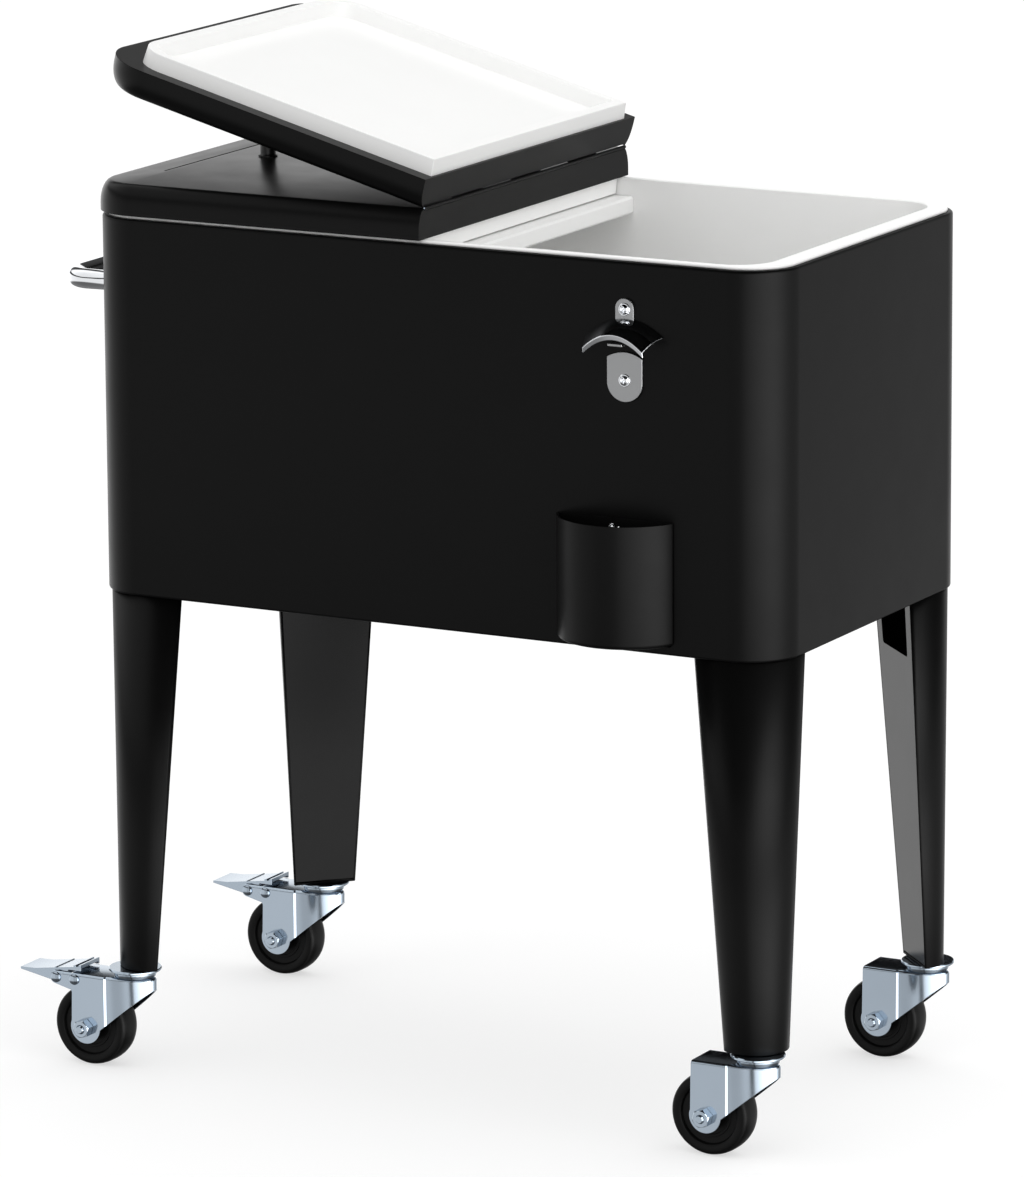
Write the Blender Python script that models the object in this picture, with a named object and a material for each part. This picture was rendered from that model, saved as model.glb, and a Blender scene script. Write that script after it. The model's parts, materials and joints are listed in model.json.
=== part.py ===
"""Rolling patio cooler on four swivel casters, in metres with +Z up and the floor at z = 0.

A painted steel body holds a moulded tub in foam. Two half lids share one pin along the centre seam,
four tapered legs carry casters that turn and roll, and the two left casters have brake pedals.
"""

import math

import bmesh
import bpy
from mathutils import Matrix, Vector

# Clearances and counts
GAP = 0.0003
OVERRUN = 0.004
CORNER_STEPS = 7
ROUND_STEPS = 20
SMOOTH_ANGLE = math.radians(32)

# Body shell
BODY_LENGTH = 0.687
BODY_WIDTH = 0.393
BODY_HEIGHT = 0.3415
BODY_BOTTOM = 0.4475
BODY_CORNER = 0.0474
SHELL_SHEET = 0.0012
SHELL_BEND = 0.0025
TOP_FOLD = 0.0085
BOTTOM_LIP = 0.016
PAN_SHEET = 0.0015

# Tub and foam
TUB_WALL = 0.003
TUB_FLANGE_INSET = 0.0048
TUB_FLANGE_RISE = 0.0031
TUB_OPENING_INSET = 0.0125
TUB_END_EXTRA = 0.0115
TUB_OPENING_CORNER = 0.034
TUB_EDGE = 0.003
TUB_DRAFT = 0.006
TUB_FLOOR_ROUND = 0.014
FLOOR_FOAM = 0.030
FOAM_TOP_DROP = 0.004

# Centre bar between the lids
BAR_WIDTH = 0.024
BAR_DEPTH = 0.016
BAR_EDGE = 0.002
BAR_BELOW_PLUG = 0.0015

# Drain
DRAIN_X_SHARE = -0.72
DRAIN_BORE = 0.008
DRAIN_WALL = 0.0025
DRAIN_FLANGE = 0.017
DRAIN_FLANGE_THICK = 0.002
DRAIN_TAIL = 0.012
CAP_WALL = 0.003
CAP_HEIGHT = 0.014
CAP_GRIP_DEPTH = 0.0012
CAP_GRIPS = 8

# Lids
LID_OVERHANG = 0.0015
LID_LIFT = 0.0034
LID_HEIGHT = 0.0275
LID_SHEET = 0.0012
LID_SKIRT = 0.0065
LID_CROWN = 0.0105
LID_CROWN_STEPS = 6
LID_EDGE = 0.0012
SEAM_HALF = 0.0008
SEAM_EDGE = 0.0006
RIM_SIDE = 0.0155
RIM_END_EXTRA = 0.0117
RIM_HINGE = 0.0028
RIM_CORNER = 0.031
PLUG_DEPTH = 0.0150
PLUG_RIDGE = 0.0095
PLUG_RECESS = 0.0115
PLUG_ROOT = 0.004
PLUG_EDGE = 0.0016
PLUG_DRAFT = 0.0014
REST_ANGLE = 15.0
GROOVE_FROM_END = 0.0375
GROOVE_LENGTH = 0.224
GROOVE_WIDTH = 0.0018
GROOVE_DEPTH = 0.0006

# Knobs on the lids
KNOB_FROM_HINGE = 0.266
KNOB_RADIUS = 0.007
KNOB_FLARE = 0.0018
KNOB_DOME = 0.0012

# Hinge in the recess along the seam
BARREL_RADIUS = 0.0016
BARREL_BORE = 0.0010
PIN_RADIUS = 0.0007
LEAF_SHEET = 0.0008
LEAF_HEIGHT = 0.016
RECESS_FROM_SIDE = 0.0080
RECESS_REACH = 0.0034
RECESS_DROP = 0.0022
BARREL_END_GAP = 0.0010
KNUCKLES = 7
BARREL_STEPS = 12

# Legs
LEG_TOP_RADIUS = 0.0491
LEG_TOP_INSET = 0.0015
LEG_TOP_CHORD = -0.0018
LEG_FOOT_RADIUS = 0.0301
LEG_FOOT_INSET = 0.0074
LEG_FOOT_CHORD = 0.0037
LEG_FOOT_Z = 0.096
LEG_SHEET = 0.0016
LEG_FOOT_PLATE = 0.003
LEG_FLANGE = 0.0025
LEG_ARC_STEPS = 16
WINDOW_SHARE = 0.74
WINDOW_TOP_DROP = 0.009
WINDOW_HEIGHT = 0.050
LEG_BOLT_RADIUS = 0.003
LEG_BOLT_SIDE_SHARE = 0.42
LEG_BOLT_OUT_SHARE = 0.40

# Casters
CASTER_PAST_FOOT_X = 0.0103
CASTER_PAST_FOOT_Y = 0.0147
WHEEL_RADIUS = 0.0375
WHEEL_WIDTH = 0.0254
WHEEL_CROWN = 0.0012
WHEEL_SHOULDER = 0.004
WHEEL_RECESS = 0.003
WHEEL_RIM = 0.010
WHEEL_STEPS = 24
HUB_RADIUS = 0.0105
HUB_WIDTH = 0.032
TRAIL = 0.0423
FORK_TOP = 0.087
FORK_SHEET = 0.002
FORK_WIDTH = 0.040
FORK_BACK = 0.0137
FORK_BEND = 0.0207
FORK_STEP = 0.0016
FORK_NOSE = 0.0211
FORK_NOSE_DROP = 0.011
FORK_NOSE_STEPS = 10
LOBE_RADIUS = 0.0153
LOBE_STEPS = 12
EAR_LENGTH = 0.0225
EAR_END = 0.0062
EAR_STEPS = 8
AXLE_RADIUS = 0.004
NUT_ACROSS = 0.015
NUT_HEIGHT = 0.0088
BOLT_HEAD_HEIGHT = 0.005
BOLT_POINT = 0.0022
KINGPIN_RADIUS = 0.005
KINGPIN_HEAD = 0.008
KINGPIN_HEAD_THICK = 0.0022
RACEWAY_RADIUS = 0.0195
MOUNT_RADIUS = 0.0242
MOUNT_PLATE = 0.0028
PIVOT_CLEARANCE = 0.00035

# Brakes on the two left casters
PIVOT_BEHIND_AXLE = 0.0304
SHOE_PIN_BEHIND_AXLE = 0.0109
PIVOT_BELOW_TOP = 0.0055
RIVET_RADIUS = 0.0025
RIVET_HEAD = 0.0046
RIVET_HEAD_HEIGHT = 0.0022
PEDAL_SHEET = 0.0018
PEDAL_SIDE_GAP = 0.0015
PEDAL_TIP = 0.040
PEDAL_TIP_RISE = 0.004
PEDAL_TIP_THICK = 0.002
PEDAL_TREAD = 0.015
PEDAL_REAR = 0.0245
PEDAL_REAR_RISE = 0.0112
PEDAL_REAR_LIFT = 0.0017
PEDAL_CHEEK = 0.0115
PEDAL_EYE = 0.0058
PEDAL_RIB = 0.0016

# End handle
HANDLE_RADIUS = 0.0092
HANDLE_REACH = 0.055
HANDLE_HALF_SPAN = 0.135
HANDLE_BELOW_TOP = 0.069
HANDLE_BEND = 0.022
HANDLE_BEND_STEPS = 7
HANDLE_FLANGE = 0.0155
HANDLE_FLANGE_THICK = 0.003
TUBE_SIDES = 12

# Bottle opener
OPENER_X = 0.2005
OPENER_TOP_BELOW = 0.031
OPENER_PLATE = 0.0026
TAB_HALF = 0.0088
TAB_LENGTH = 0.026
PLATE_HALF = 0.0170
PLATE_BOTTOM_BELOW = 0.1215
HOOD_WALL_HALF = 0.0365
HOOD_LIP_HALF = 0.0290
HOOD_WALL_SAG = 0.0145
HOOD_LIP_SAG = 0.0135
HOOD_REACH = 0.027
HOOD_TOP_BELOW = 0.0485
HOOD_DROP = 0.0105
HOOD_THICK = 0.0034
HOOD_LIP_THICK = 0.0050
HOOD_STEPS = 18
TOOTH_WIDTH = 0.014
TOOTH_THICK = 0.003
TOOTH_REACH = 0.010
TOOTH_BELOW = 0.070
SCREW_HEAD = 0.0047
SCREW_HEAD_HEIGHT = 0.0021
SCREW_SHANK = 0.0018
TAB_SCREW_DROP = 0.0095
PLATE_SCREW_BELOW = 0.1025
SPARE_HOLE = 0.0026
SPARE_HOLE_DROP = 0.0205

# Cap catcher
CATCHER_X = 0.1895
CATCHER_HALF = 0.0570
CATCHER_DEPTH = 0.0385
CATCHER_TOP_BELOW = 0.2245
CATCHER_HEIGHT = 0.1085
CATCHER_WALL = 0.0014
CATCHER_FLOOR = 0.002
CATCHER_EDGE = 0.004
CATCHER_STEPS = 26
CATCHER_SCREW_DROP = 0.010

# Worked out from the sizes above
HALF_L = BODY_LENGTH / 2
HALF_W = BODY_WIDTH / 2
BODY_TOP = BODY_BOTTOM + BODY_HEIGHT
PAN_BOTTOM = BODY_BOTTOM + SHELL_SHEET + GAP
PAN_TOP = PAN_BOTTOM + PAN_SHEET
FOAM_BOTTOM = PAN_TOP + GAP
TUB_UNDERSIDE = FOAM_BOTTOM + FLOOR_FOAM
TUB_FLOOR = TUB_UNDERSIDE + TUB_WALL
FLANGE_TOP = BODY_TOP + TUB_FLANGE_RISE
LID_BOTTOM = BODY_TOP + LID_LIFT
LID_TOP = LID_BOTTOM + LID_HEIGHT
HINGE_Z = LID_TOP
LID_HALF_L = HALF_L + LID_OVERHANG
LID_HALF_W = HALF_W + LID_OVERHANG
LEG_TOP_Z = BODY_BOTTOM - GAP
LEG_FOOT_CORNER = LEG_FOOT_INSET + LEG_FOOT_RADIUS
DRAIN_X = DRAIN_X_SHARE * HALF_L
CASTER_X = HALF_L - LEG_FOOT_CORNER + CASTER_PAST_FOOT_X
CASTER_Y = HALF_W - LEG_FOOT_CORNER + CASTER_PAST_FOOT_Y
AXLE_X = -TRAIL
AXLE_Z = WHEEL_RADIUS
FORK_HALF = FORK_WIDTH / 2
PIVOT_X = AXLE_X - PIVOT_BEHIND_AXLE
PIVOT_Z = FORK_TOP - PIVOT_BELOW_TOP
SHOE_PIN_X = AXLE_X - SHOE_PIN_BEHIND_AXLE
KNOB_HEIGHT = (KNOB_FROM_HINGE - KNOB_RADIUS) * math.tan(math.radians(REST_ANGLE / 2)) - GAP
HANDLE_Z = BODY_TOP - HANDLE_BELOW_TOP
FRONT = -HALF_W


def rgb(text):
    """A linear colour with alpha from an sRGB hex string."""
    parts = [int(text[i : i + 2], 16) / 255 for i in (0, 2, 4)]
    linear = [c / 12.92 if c <= 0.04045 else ((c + 0.055) / 1.055) ** 2.4 for c in parts]
    return (*linear, 1.0)


FINISHES = {
    "black_enamel": ("1b1b1c", 0.34, 0.0),
    "black_enamel_inside": ("4a4a4c", 0.5, 0.0),
    "white_plastic": ("f2f2f0", 0.38, 0.0),
    "foam": ("e6dcb8", 0.9, 0.0),
    "zinc": ("b9c2cc", 0.27, 1.0),
    "chrome": ("e4e6e8", 0.08, 1.0),
    "stainless": ("9b9c9d", 0.33, 1.0),
    "black_rubber": ("161616", 0.55, 0.0),
    "black_plastic": ("1e1e1f", 0.42, 0.0),
    "grey_plastic": ("8d8f92", 0.5, 0.0),
}


def finish_for(name, finish):
    """One Principled material for one piece."""
    colour, roughness, metallic = FINISHES[finish]
    material = bpy.data.materials.new(f"{name}_{finish}")
    material.use_nodes = True
    shader = material.node_tree.nodes["Principled BSDF"]
    shader.inputs["Base Color"].default_value = rgb(colour)
    shader.inputs["Roughness"].default_value = roughness
    shader.inputs["Metallic"].default_value = metallic
    return material


def place(name, bm, finish=None, origin=(0, 0, 0), turn=None):
    """Makes the object of a finished bmesh, its origin at the given point, and hides it where it has no finish."""
    bmesh.ops.remove_doubles(bm, verts=bm.verts, dist=1e-7)
    if turn is not None:
        bm.transform(turn)
    bm.transform(Matrix.Translation(-Vector(origin)))
    bm.normal_update()
    bmesh.ops.recalc_face_normals(bm, faces=bm.faces)
    mesh = bpy.data.meshes.new(name)
    bm.to_mesh(mesh)
    bm.free()
    obj = bpy.data.objects.new(name, mesh)
    bpy.context.collection.objects.link(obj)
    obj.location = origin
    if finish is None:
        obj.hide_render = True
        obj.display_type = "WIRE"
        return obj
    mesh.shade_smooth()
    mesh.set_sharp_from_angle(angle=SMOOTH_ANGLE)
    mesh.materials.append(finish_for(name, finish))
    return obj


def combine(obj, other, operation):
    """Adds an exact Boolean with a hidden object."""
    modifier = obj.modifiers.new(operation.lower(), "BOOLEAN")
    modifier.operation = operation
    modifier.solver = "EXACT"
    modifier.object = other


def loft(bm, rings, wrap=False, caps=True):
    """Bridges rings of equally many points in order, closed by end faces or back to the first ring."""
    rows = [[bm.verts.new(p) for p in ring] for ring in rings]
    count = len(rows[0])
    pairs = list(zip(rows[:-1], rows[1:]))
    if wrap:
        pairs.append((rows[-1], rows[0]))
    for low, high in pairs:
        for i in range(count):
            j = (i + 1) % count
            bm.faces.new((low[i], low[j], high[j], high[i]))
    if caps and not wrap:
        bm.faces.new(rows[0][::-1])
        bm.faces.new(rows[-1])
    return bm


def lofted(rings, wrap=False):
    return loft(bmesh.new(), rings, wrap)


def arc(centre, radius, start, end, steps, radius_y=None):
    """Points on an arc in a plane, angles in degrees, with an optional second radius."""
    cx, cy = centre
    ry = radius if radius_y is None else radius_y
    angles = [math.radians(start + (end - start) * i / steps) for i in range(steps + 1)]
    return [(cx + radius * math.cos(a), cy + ry * math.sin(a)) for a in angles]


def circle(centre, radius, steps=ROUND_STEPS):
    return arc(centre, radius, 0, 360, steps)[:-1]


def rounded_plan(half_x, half_y, corner, steps=CORNER_STEPS):
    """A rectangle with round corners, counter-clockwise."""
    points = []
    for sx, sy, start in ((1, 1, 0), (-1, 1, 90), (-1, -1, 180), (1, -1, 270)):
        centre = (sx * (half_x - corner), sy * (half_y - corner))
        points += arc(centre, corner, start, start + 90, steps)
    return points


def lid_plan(inset, hinge_inset, corner, end_extra=0.0):
    """The left lid's outline drawn in by an inset, with its straight end at the seam."""
    half_x, half_y = LID_HALF_L - inset - end_extra, LID_HALF_W - inset
    seam = -SEAM_HALF - hinge_inset
    points = [(seam, half_y)]
    points += arc((corner - half_x, half_y - corner), corner, 90, 180, CORNER_STEPS)
    points += arc((corner - half_x, corner - half_y), corner, 180, 270, CORNER_STEPS)
    points.append((seam, -half_y))
    return points


def at_height(points, z):
    return [(x, y, z) for x, y in points]


def prism(points, low, high):
    return lofted([at_height(points, low), at_height(points, high)])


def prism_y(points, low, high):
    """A solid of an outline drawn in X and Z, between two values of Y."""
    return lofted([[(x, y, z) for x, z in points] for y in (low, high)])


def turned(profile, centre=(0, 0), steps=ROUND_STEPS, wrap=False):
    """A solid turned about a vertical axis from (radius, height) pairs."""
    return lofted([at_height(circle(centre, r, steps), z) for r, z in profile], wrap)


def turned_y(profile, centre=(0, 0), steps=ROUND_STEPS, wrap=False):
    """A solid turned about an axis along Y from (radius, y) pairs, centred in X and Z."""
    rings = [[(x, y, z) for x, z in circle(centre, r, steps)] for r, y in profile]
    return lofted(rings, wrap)


def hexagon(centre, across):
    radius = across / math.sqrt(3)
    return arc(centre, radius, 30, 390, 6)[:-1]


def add_solid(bm, other):
    """Puts the mesh of a second solid beside the first."""
    mesh = bpy.data.meshes.new("joined")
    other.to_mesh(mesh)
    other.free()
    bm.from_mesh(mesh)
    bpy.data.meshes.remove(mesh)
    return bm


def body_plan(inset, corner=None):
    round_corner = BODY_CORNER - inset if corner is None else corner
    return rounded_plan(HALF_L - inset, HALF_W - inset, round_corner)


def outer_shell():
    """Sheet wall with its top edge folded in and a lip round the bottom."""
    bend = SHELL_BEND * (1 - math.sqrt(0.5))
    profile = [
        (BOTTOM_LIP, BODY_BOTTOM),
        (SHELL_BEND, BODY_BOTTOM),
        (bend, BODY_BOTTOM + bend),
        (0, BODY_BOTTOM + SHELL_BEND),
        (0, BODY_TOP - SHELL_BEND),
        (bend, BODY_TOP - bend),
        (SHELL_BEND, BODY_TOP),
        (TOP_FOLD, BODY_TOP),
        (TOP_FOLD, BODY_TOP - SHELL_SHEET),
        (SHELL_BEND, BODY_TOP - SHELL_SHEET),
        (SHELL_SHEET, BODY_TOP - SHELL_BEND),
        (SHELL_SHEET, BODY_BOTTOM + SHELL_BEND),
        (SHELL_BEND, BODY_BOTTOM + SHELL_SHEET),
        (BOTTOM_LIP, BODY_BOTTOM + SHELL_SHEET),
    ]
    rings = [at_height(body_plan(inset), z) for inset, z in profile]
    place("outer_shell", lofted(rings, wrap=True), "black_enamel")


def cut_drain(obj, low, high):
    """Cuts the round hole that the drain socket passes through."""
    drill = prism(circle((DRAIN_X, 0), DRAIN_BORE + DRAIN_WALL + GAP), low - OVERRUN, high + OVERRUN)
    combine(obj, place(f"{obj.name}_drain_cut", drill), "DIFFERENCE")


def leg_bolt_places():
    """Where the leg bolts stand, two for each leg."""
    centre = HALF_L - LEG_TOP_INSET - LEG_TOP_RADIUS, HALF_W - LEG_TOP_INSET - LEG_TOP_RADIUS
    side = LEG_BOLT_SIDE_SHARE * LEG_TOP_RADIUS
    out = LEG_BOLT_OUT_SHARE * LEG_TOP_RADIUS
    return [
        (
            sx * (centre[0] + (out + turn * side) * math.sqrt(0.5)),
            sy * (centre[1] + (out - turn * side) * math.sqrt(0.5)),
        )
        for sx in (-1, 1)
        for sy in (-1, 1)
        for turn in (-1, 1)
    ]


def base_pan():
    """Bottom sheet that lies on the shell's lip, with the drain hole and the holes for the leg bolts."""
    plan = body_plan(SHELL_BEND)
    pan = place("base_pan", prism(plan, PAN_BOTTOM, PAN_TOP), "black_enamel")
    cut_drain(pan, PAN_BOTTOM, PAN_TOP)
    cuts = bmesh.new()
    for spot in leg_bolt_places():
        drill = circle(spot, LEG_BOLT_RADIUS + GAP, BARREL_STEPS)
        add_solid(cuts, prism(drill, PAN_BOTTOM - OVERRUN, PAN_TOP + OVERRUN))
    combine(pan, place("pan_bolt_cuts", cuts), "DIFFERENCE")


def tub_outer(inset_extra, z):
    """One ring of the tub's outer wall or of what fits round it."""
    inset = TUB_OPENING_INSET - TUB_WALL + inset_extra
    corner = TUB_OPENING_CORNER + TUB_WALL - inset_extra
    return at_height(rounded_plan(HALF_L - inset - TUB_END_EXTRA, HALF_W - inset, corner), z)


def foam_core():
    """Foam between the shell and the tub, with a hole for the drain."""
    outer = SHELL_BEND
    top = BODY_TOP - FOAM_TOP_DROP
    low_inset = TUB_DRAFT - GAP
    round_end = TUB_UNDERSIDE + TUB_FLOOR_ROUND
    rings = [
        at_height(body_plan(outer), FOAM_BOTTOM),
        at_height(body_plan(outer), top),
        tub_outer(-GAP, top),
        tub_outer(low_inset, round_end - GAP),
        tub_outer(low_inset + TUB_FLOOR_ROUND, TUB_UNDERSIDE - GAP),
    ]
    foam = place("foam_core", lofted(rings), "foam")
    cut_drain(foam, FOAM_BOTTOM, TUB_UNDERSIDE)


def tub_liner():
    """Moulded tub with drafted walls, a rounded floor edge and a flange that lies over the shell."""
    wall = TUB_WALL
    under = BODY_TOP + GAP
    round_end = TUB_UNDERSIDE + TUB_FLOOR_ROUND
    edge = TUB_EDGE * (1 - math.sqrt(0.5))
    flange = body_plan(TUB_FLANGE_INSET)
    draft_end = TUB_DRAFT + TUB_FLOOR_ROUND
    rings = [
        tub_outer(draft_end, TUB_UNDERSIDE),
        tub_outer(TUB_DRAFT, round_end),
        tub_outer(0, under),
        at_height(flange, under),
        at_height(flange, FLANGE_TOP - TUB_EDGE / 2),
        at_height(body_plan(TUB_FLANGE_INSET + TUB_EDGE / 2), FLANGE_TOP),
        tub_outer(wall - TUB_EDGE, FLANGE_TOP),
        tub_outer(wall - edge, FLANGE_TOP - edge),
        tub_outer(wall, FLANGE_TOP - TUB_EDGE),
        tub_outer(wall + TUB_DRAFT, round_end + wall),
        tub_outer(wall + draft_end, TUB_FLOOR),
    ]
    tub = place("tub_liner", lofted(rings), "white_plastic")
    cut_drain(tub, TUB_UNDERSIDE, TUB_FLOOR)


def centre_bar():
    """Bar across the tub that both lids close against."""
    top = LID_BOTTOM - PLUG_DEPTH - BAR_BELOW_PLUG
    slope = TUB_DRAFT / (BODY_TOP - TUB_UNDERSIDE - TUB_FLOOR_ROUND)
    wall = HALF_W - TUB_OPENING_INSET - GAP

    def section(side, z, inset):
        half = BAR_WIDTH / 2 - inset
        y = side * (wall - slope * (FLANGE_TOP - z) - GAP)
        return (-half, y, z), (half, y, z)

    rings = []
    for side in (-1, 1):
        low, low_edge = section(side, top - BAR_DEPTH, BAR_EDGE), section(side, top - BAR_DEPTH + BAR_EDGE, 0)
        high_edge, high = section(side, top - BAR_EDGE, 0), section(side, top, BAR_EDGE)
        rings.append([low[0], low[1], low_edge[1], high_edge[1], high[1], high[0], high_edge[0], low_edge[0]])
    place("centre_bar", lofted(rings), "white_plastic")


def drain():
    """Drain socket through the floor, and the cap that closes it from below."""
    outer = DRAIN_BORE + DRAIN_WALL
    tail_end = BODY_BOTTOM - DRAIN_TAIL
    lip = TUB_FLOOR + GAP
    profile = [
        (outer, tail_end),
        (outer, lip),
        (DRAIN_FLANGE, lip),
        (DRAIN_FLANGE - DRAIN_FLANGE_THICK / 2, lip + DRAIN_FLANGE_THICK),
        (DRAIN_BORE, lip + DRAIN_FLANGE_THICK),
        (DRAIN_BORE, tail_end),
    ]
    place("drain_socket", turned(profile, (DRAIN_X, 0), wrap=True), "grey_plastic")
    bore = outer + GAP
    rim = bore + CAP_WALL
    top = BODY_BOTTOM - GAP - SHELL_SHEET
    floor = tail_end - GAP
    bottom = top - CAP_HEIGHT - CAP_WALL

    def grip_ring(z, radius):
        count = 4 * CAP_GRIPS
        waves = [radius - CAP_GRIP_DEPTH * (i % 4 in (1, 2)) for i in range(count)]
        angles = [2 * math.pi * i / count for i in range(count)]
        return [(DRAIN_X + r * math.cos(a), r * math.sin(a), z) for r, a in zip(waves, angles)]

    steps = 4 * CAP_GRIPS
    rings = [
        grip_ring(bottom, rim - CAP_GRIP_DEPTH),
        grip_ring(bottom + CAP_GRIP_DEPTH, rim),
        grip_ring(top, rim),
        at_height(circle((DRAIN_X, 0), bore, steps), top),
        at_height(circle((DRAIN_X, 0), bore, steps), floor),
    ]
    place("drain_cap", lofted(rings), "black_plastic", (DRAIN_X, 0, top))


def crown_profile():
    """(inset, height above the lid's bottom) up the lid's side, from its skirt to its flat top."""
    rise = LID_HEIGHT - LID_SKIRT
    points = []
    for i in range(LID_CROWN_STEPS + 1):
        angle = math.pi / 2 * i / LID_CROWN_STEPS
        points.append((LID_CROWN * (1 - math.cos(angle)), LID_SKIRT + rise * math.sin(angle)))
    return points


def lid_turn(side):
    """The left lid lies closed. The right one is the same lid turned round, open over the left."""
    if side == "left":
        return None
    flip = Matrix.Rotation(math.pi, 4, "Z")
    lift = Matrix.Translation((0, 0, HINGE_Z))
    swing = Matrix.Rotation(-math.radians(180 - REST_ANGLE), 4, "Y")
    return lift @ swing @ lift.inverted() @ flip


def lid_shell(side):
    """Pressed lid with a crowned edge, a folded rim and a groove near its outer end."""
    corner = BODY_CORNER + LID_OVERHANG

    def ring(inset, z, hinge_inset=0.0, round_corner=None, end_extra=0.0):
        plan = lid_plan(inset, hinge_inset, round_corner or corner - inset, end_extra)
        return at_height(plan, LID_BOTTOM + z)

    outer = [ring(LID_EDGE, 0), ring(0, LID_EDGE)]
    outer += [ring(inset, z) for inset, z in crown_profile()[:-1]]
    outer.append(ring(LID_CROWN, LID_HEIGHT, SEAM_EDGE))
    inner = [ring(inset + LID_SHEET, z - LID_SHEET, LID_SHEET) for inset, z in reversed(crown_profile())]
    inner += [ring(LID_SHEET, LID_SHEET + LID_EDGE, LID_SHEET), ring(LID_SHEET + LID_EDGE, LID_SHEET, LID_SHEET)]
    rim = RIM_SIDE - GAP
    rim_hinge = RIM_HINGE - GAP
    inner += [ring(rim, z, rim_hinge, RIM_CORNER + GAP, RIM_END_EXTRA) for z in (LID_SHEET, 0)]
    turn = lid_turn(side)
    lid = place(f"{side}_lid_shell", lofted(inner + outer), "black_enamel", (0, 0, HINGE_Z), turn)
    x = -(LID_HALF_L - GROOVE_FROM_END)
    reach = GROOVE_LENGTH / 2
    groove = arc((x, reach), GROOVE_WIDTH / 2, 0, 180, 6) + arc((x, -reach), GROOVE_WIDTH / 2, 180, 360, 6)
    cut = prism(groove, LID_TOP - GROOVE_DEPTH, LID_TOP + OVERRUN)
    combine(lid, place(f"{side}_groove_cut", cut, None, (0, 0, HINGE_Z), turn), "DIFFERENCE")
    low, high = HINGE_Z - RECESS_DROP, HINGE_Z + OVERRUN
    recess = [(-SEAM_HALF - RECESS_REACH, low), (OVERRUN, low), (OVERRUN, high), (-SEAM_HALF - RECESS_REACH, high)]
    half = LID_HALF_W - RECESS_FROM_SIDE
    cut = prism_y(recess, -half, half)
    combine(lid, place(f"{side}_recess_cut", cut, None, (0, 0, HINGE_Z), turn), "DIFFERENCE")


def lid_plug(side):
    """Moulded lid liner: a raised border that fills the tub's mouth, round a recessed panel."""

    def ring(extra, z):
        plan = lid_plan(RIM_SIDE + extra, RIM_HINGE + extra, RIM_CORNER - extra, RIM_END_EXTRA)
        return at_height(plan, LID_BOTTOM + z)

    ridge = PLUG_DRAFT + PLUG_RIDGE
    rings = [
        ring(0, PLUG_ROOT),
        ring(0, 0),
        ring(PLUG_DRAFT, PLUG_EDGE - PLUG_DEPTH),
        ring(PLUG_DRAFT + PLUG_EDGE, -PLUG_DEPTH),
        ring(ridge - PLUG_EDGE, -PLUG_DEPTH),
        ring(ridge, PLUG_EDGE - PLUG_DEPTH),
        ring(ridge + PLUG_DRAFT, PLUG_RECESS - PLUG_DEPTH),
    ]
    place(f"{side}_lid_plug", lofted(rings), "white_plastic", (0, 0, HINGE_Z), lid_turn(side))


def lid_foam(side):
    """Foam that fills the lid between its sheet and the plug."""
    corner = BODY_CORNER + LID_OVERHANG
    room = LID_SHEET + GAP
    seam = LID_SHEET + 3 * GAP + LEAF_SHEET
    low = PLUG_ROOT + GAP
    rings = [at_height(lid_plan(room + LID_EDGE, seam, corner - room - LID_EDGE), LID_BOTTOM + low)]
    for inset, z in crown_profile():
        if z - room > low + LID_EDGE:
            side_inset = inset + room + LID_EDGE
            rings.append(at_height(lid_plan(side_inset, seam, corner - side_inset), LID_BOTTOM + z - room))
    place(f"{side}_lid_foam", lofted(rings), "foam", (0, 0, HINGE_Z), lid_turn(side))


def lid_knob(side):
    """Round knob near the lid's outer end, which also props the other lid."""
    base = LID_TOP + GAP
    top = LID_TOP + KNOB_HEIGHT
    profile = [
        (KNOB_RADIUS + KNOB_FLARE, base),
        (KNOB_RADIUS + KNOB_FLARE, base + KNOB_FLARE / 2),
        (KNOB_RADIUS, base + 2 * KNOB_FLARE),
        (KNOB_RADIUS, top - 2 * KNOB_DOME),
        (KNOB_RADIUS - KNOB_DOME, top - KNOB_DOME / 2),
        (KNOB_RADIUS / 2, top),
    ]
    bm = turned(profile, (-KNOB_FROM_HINGE, 0))
    place(f"{side}_lid_knob", bm, "black_plastic", (0, 0, HINGE_Z), lid_turn(side))


def barrel_half():
    return LID_HALF_W - RECESS_FROM_SIDE - BARREL_END_GAP


def hinge_leaf(side, first):
    """Leaf inside the lid's end wall with every second knuckle of the barrel, bored for the pin."""
    near = -SEAM_HALF - LID_SHEET - GAP
    far = near - LEAF_SHEET
    half = barrel_half()
    step = 2 * half / KNUCKLES
    top = HINGE_Z - BARREL_RADIUS
    plate = [(far, HINGE_Z - LEAF_HEIGHT), (near, HINGE_Z - LEAF_HEIGHT), (near, top), (far, top)]
    turn = lid_turn(side)
    origin = (0, 0, HINGE_Z)
    leaf = place(f"{side}_hinge_leaf", prism_y(plate, -half, half), "black_enamel", origin, turn)
    for i in range(first, KNUCKLES, 2):
        low = -half + i * step + GAP / 2 * (i > 0)
        high = -half + (i + 1) * step - GAP / 2 * (i < KNUCKLES - 1)
        start, end = (low, high) if side == "left" else (-high, -low)
        web_top = top + LEAF_SHEET
        outline = [(far, top - LEAF_SHEET), (near, top - LEAF_SHEET), (near, top)]
        outline += arc((0, HINGE_Z), BARREL_RADIUS, -90, 210, BARREL_STEPS) + [(far, web_top)]
        knuckle = place(f"{side}_knuckle_{i}", prism_y(outline, start, end), None, origin, turn)
        combine(leaf, knuckle, "UNION")
    reach = half + OVERRUN
    bore = turned_y([(BARREL_BORE, -reach), (BARREL_BORE, reach)], (0, HINGE_Z), BARREL_STEPS)
    combine(leaf, place(f"{side}_knuckle_bore", bore, None, origin, turn), "DIFFERENCE")


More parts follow.
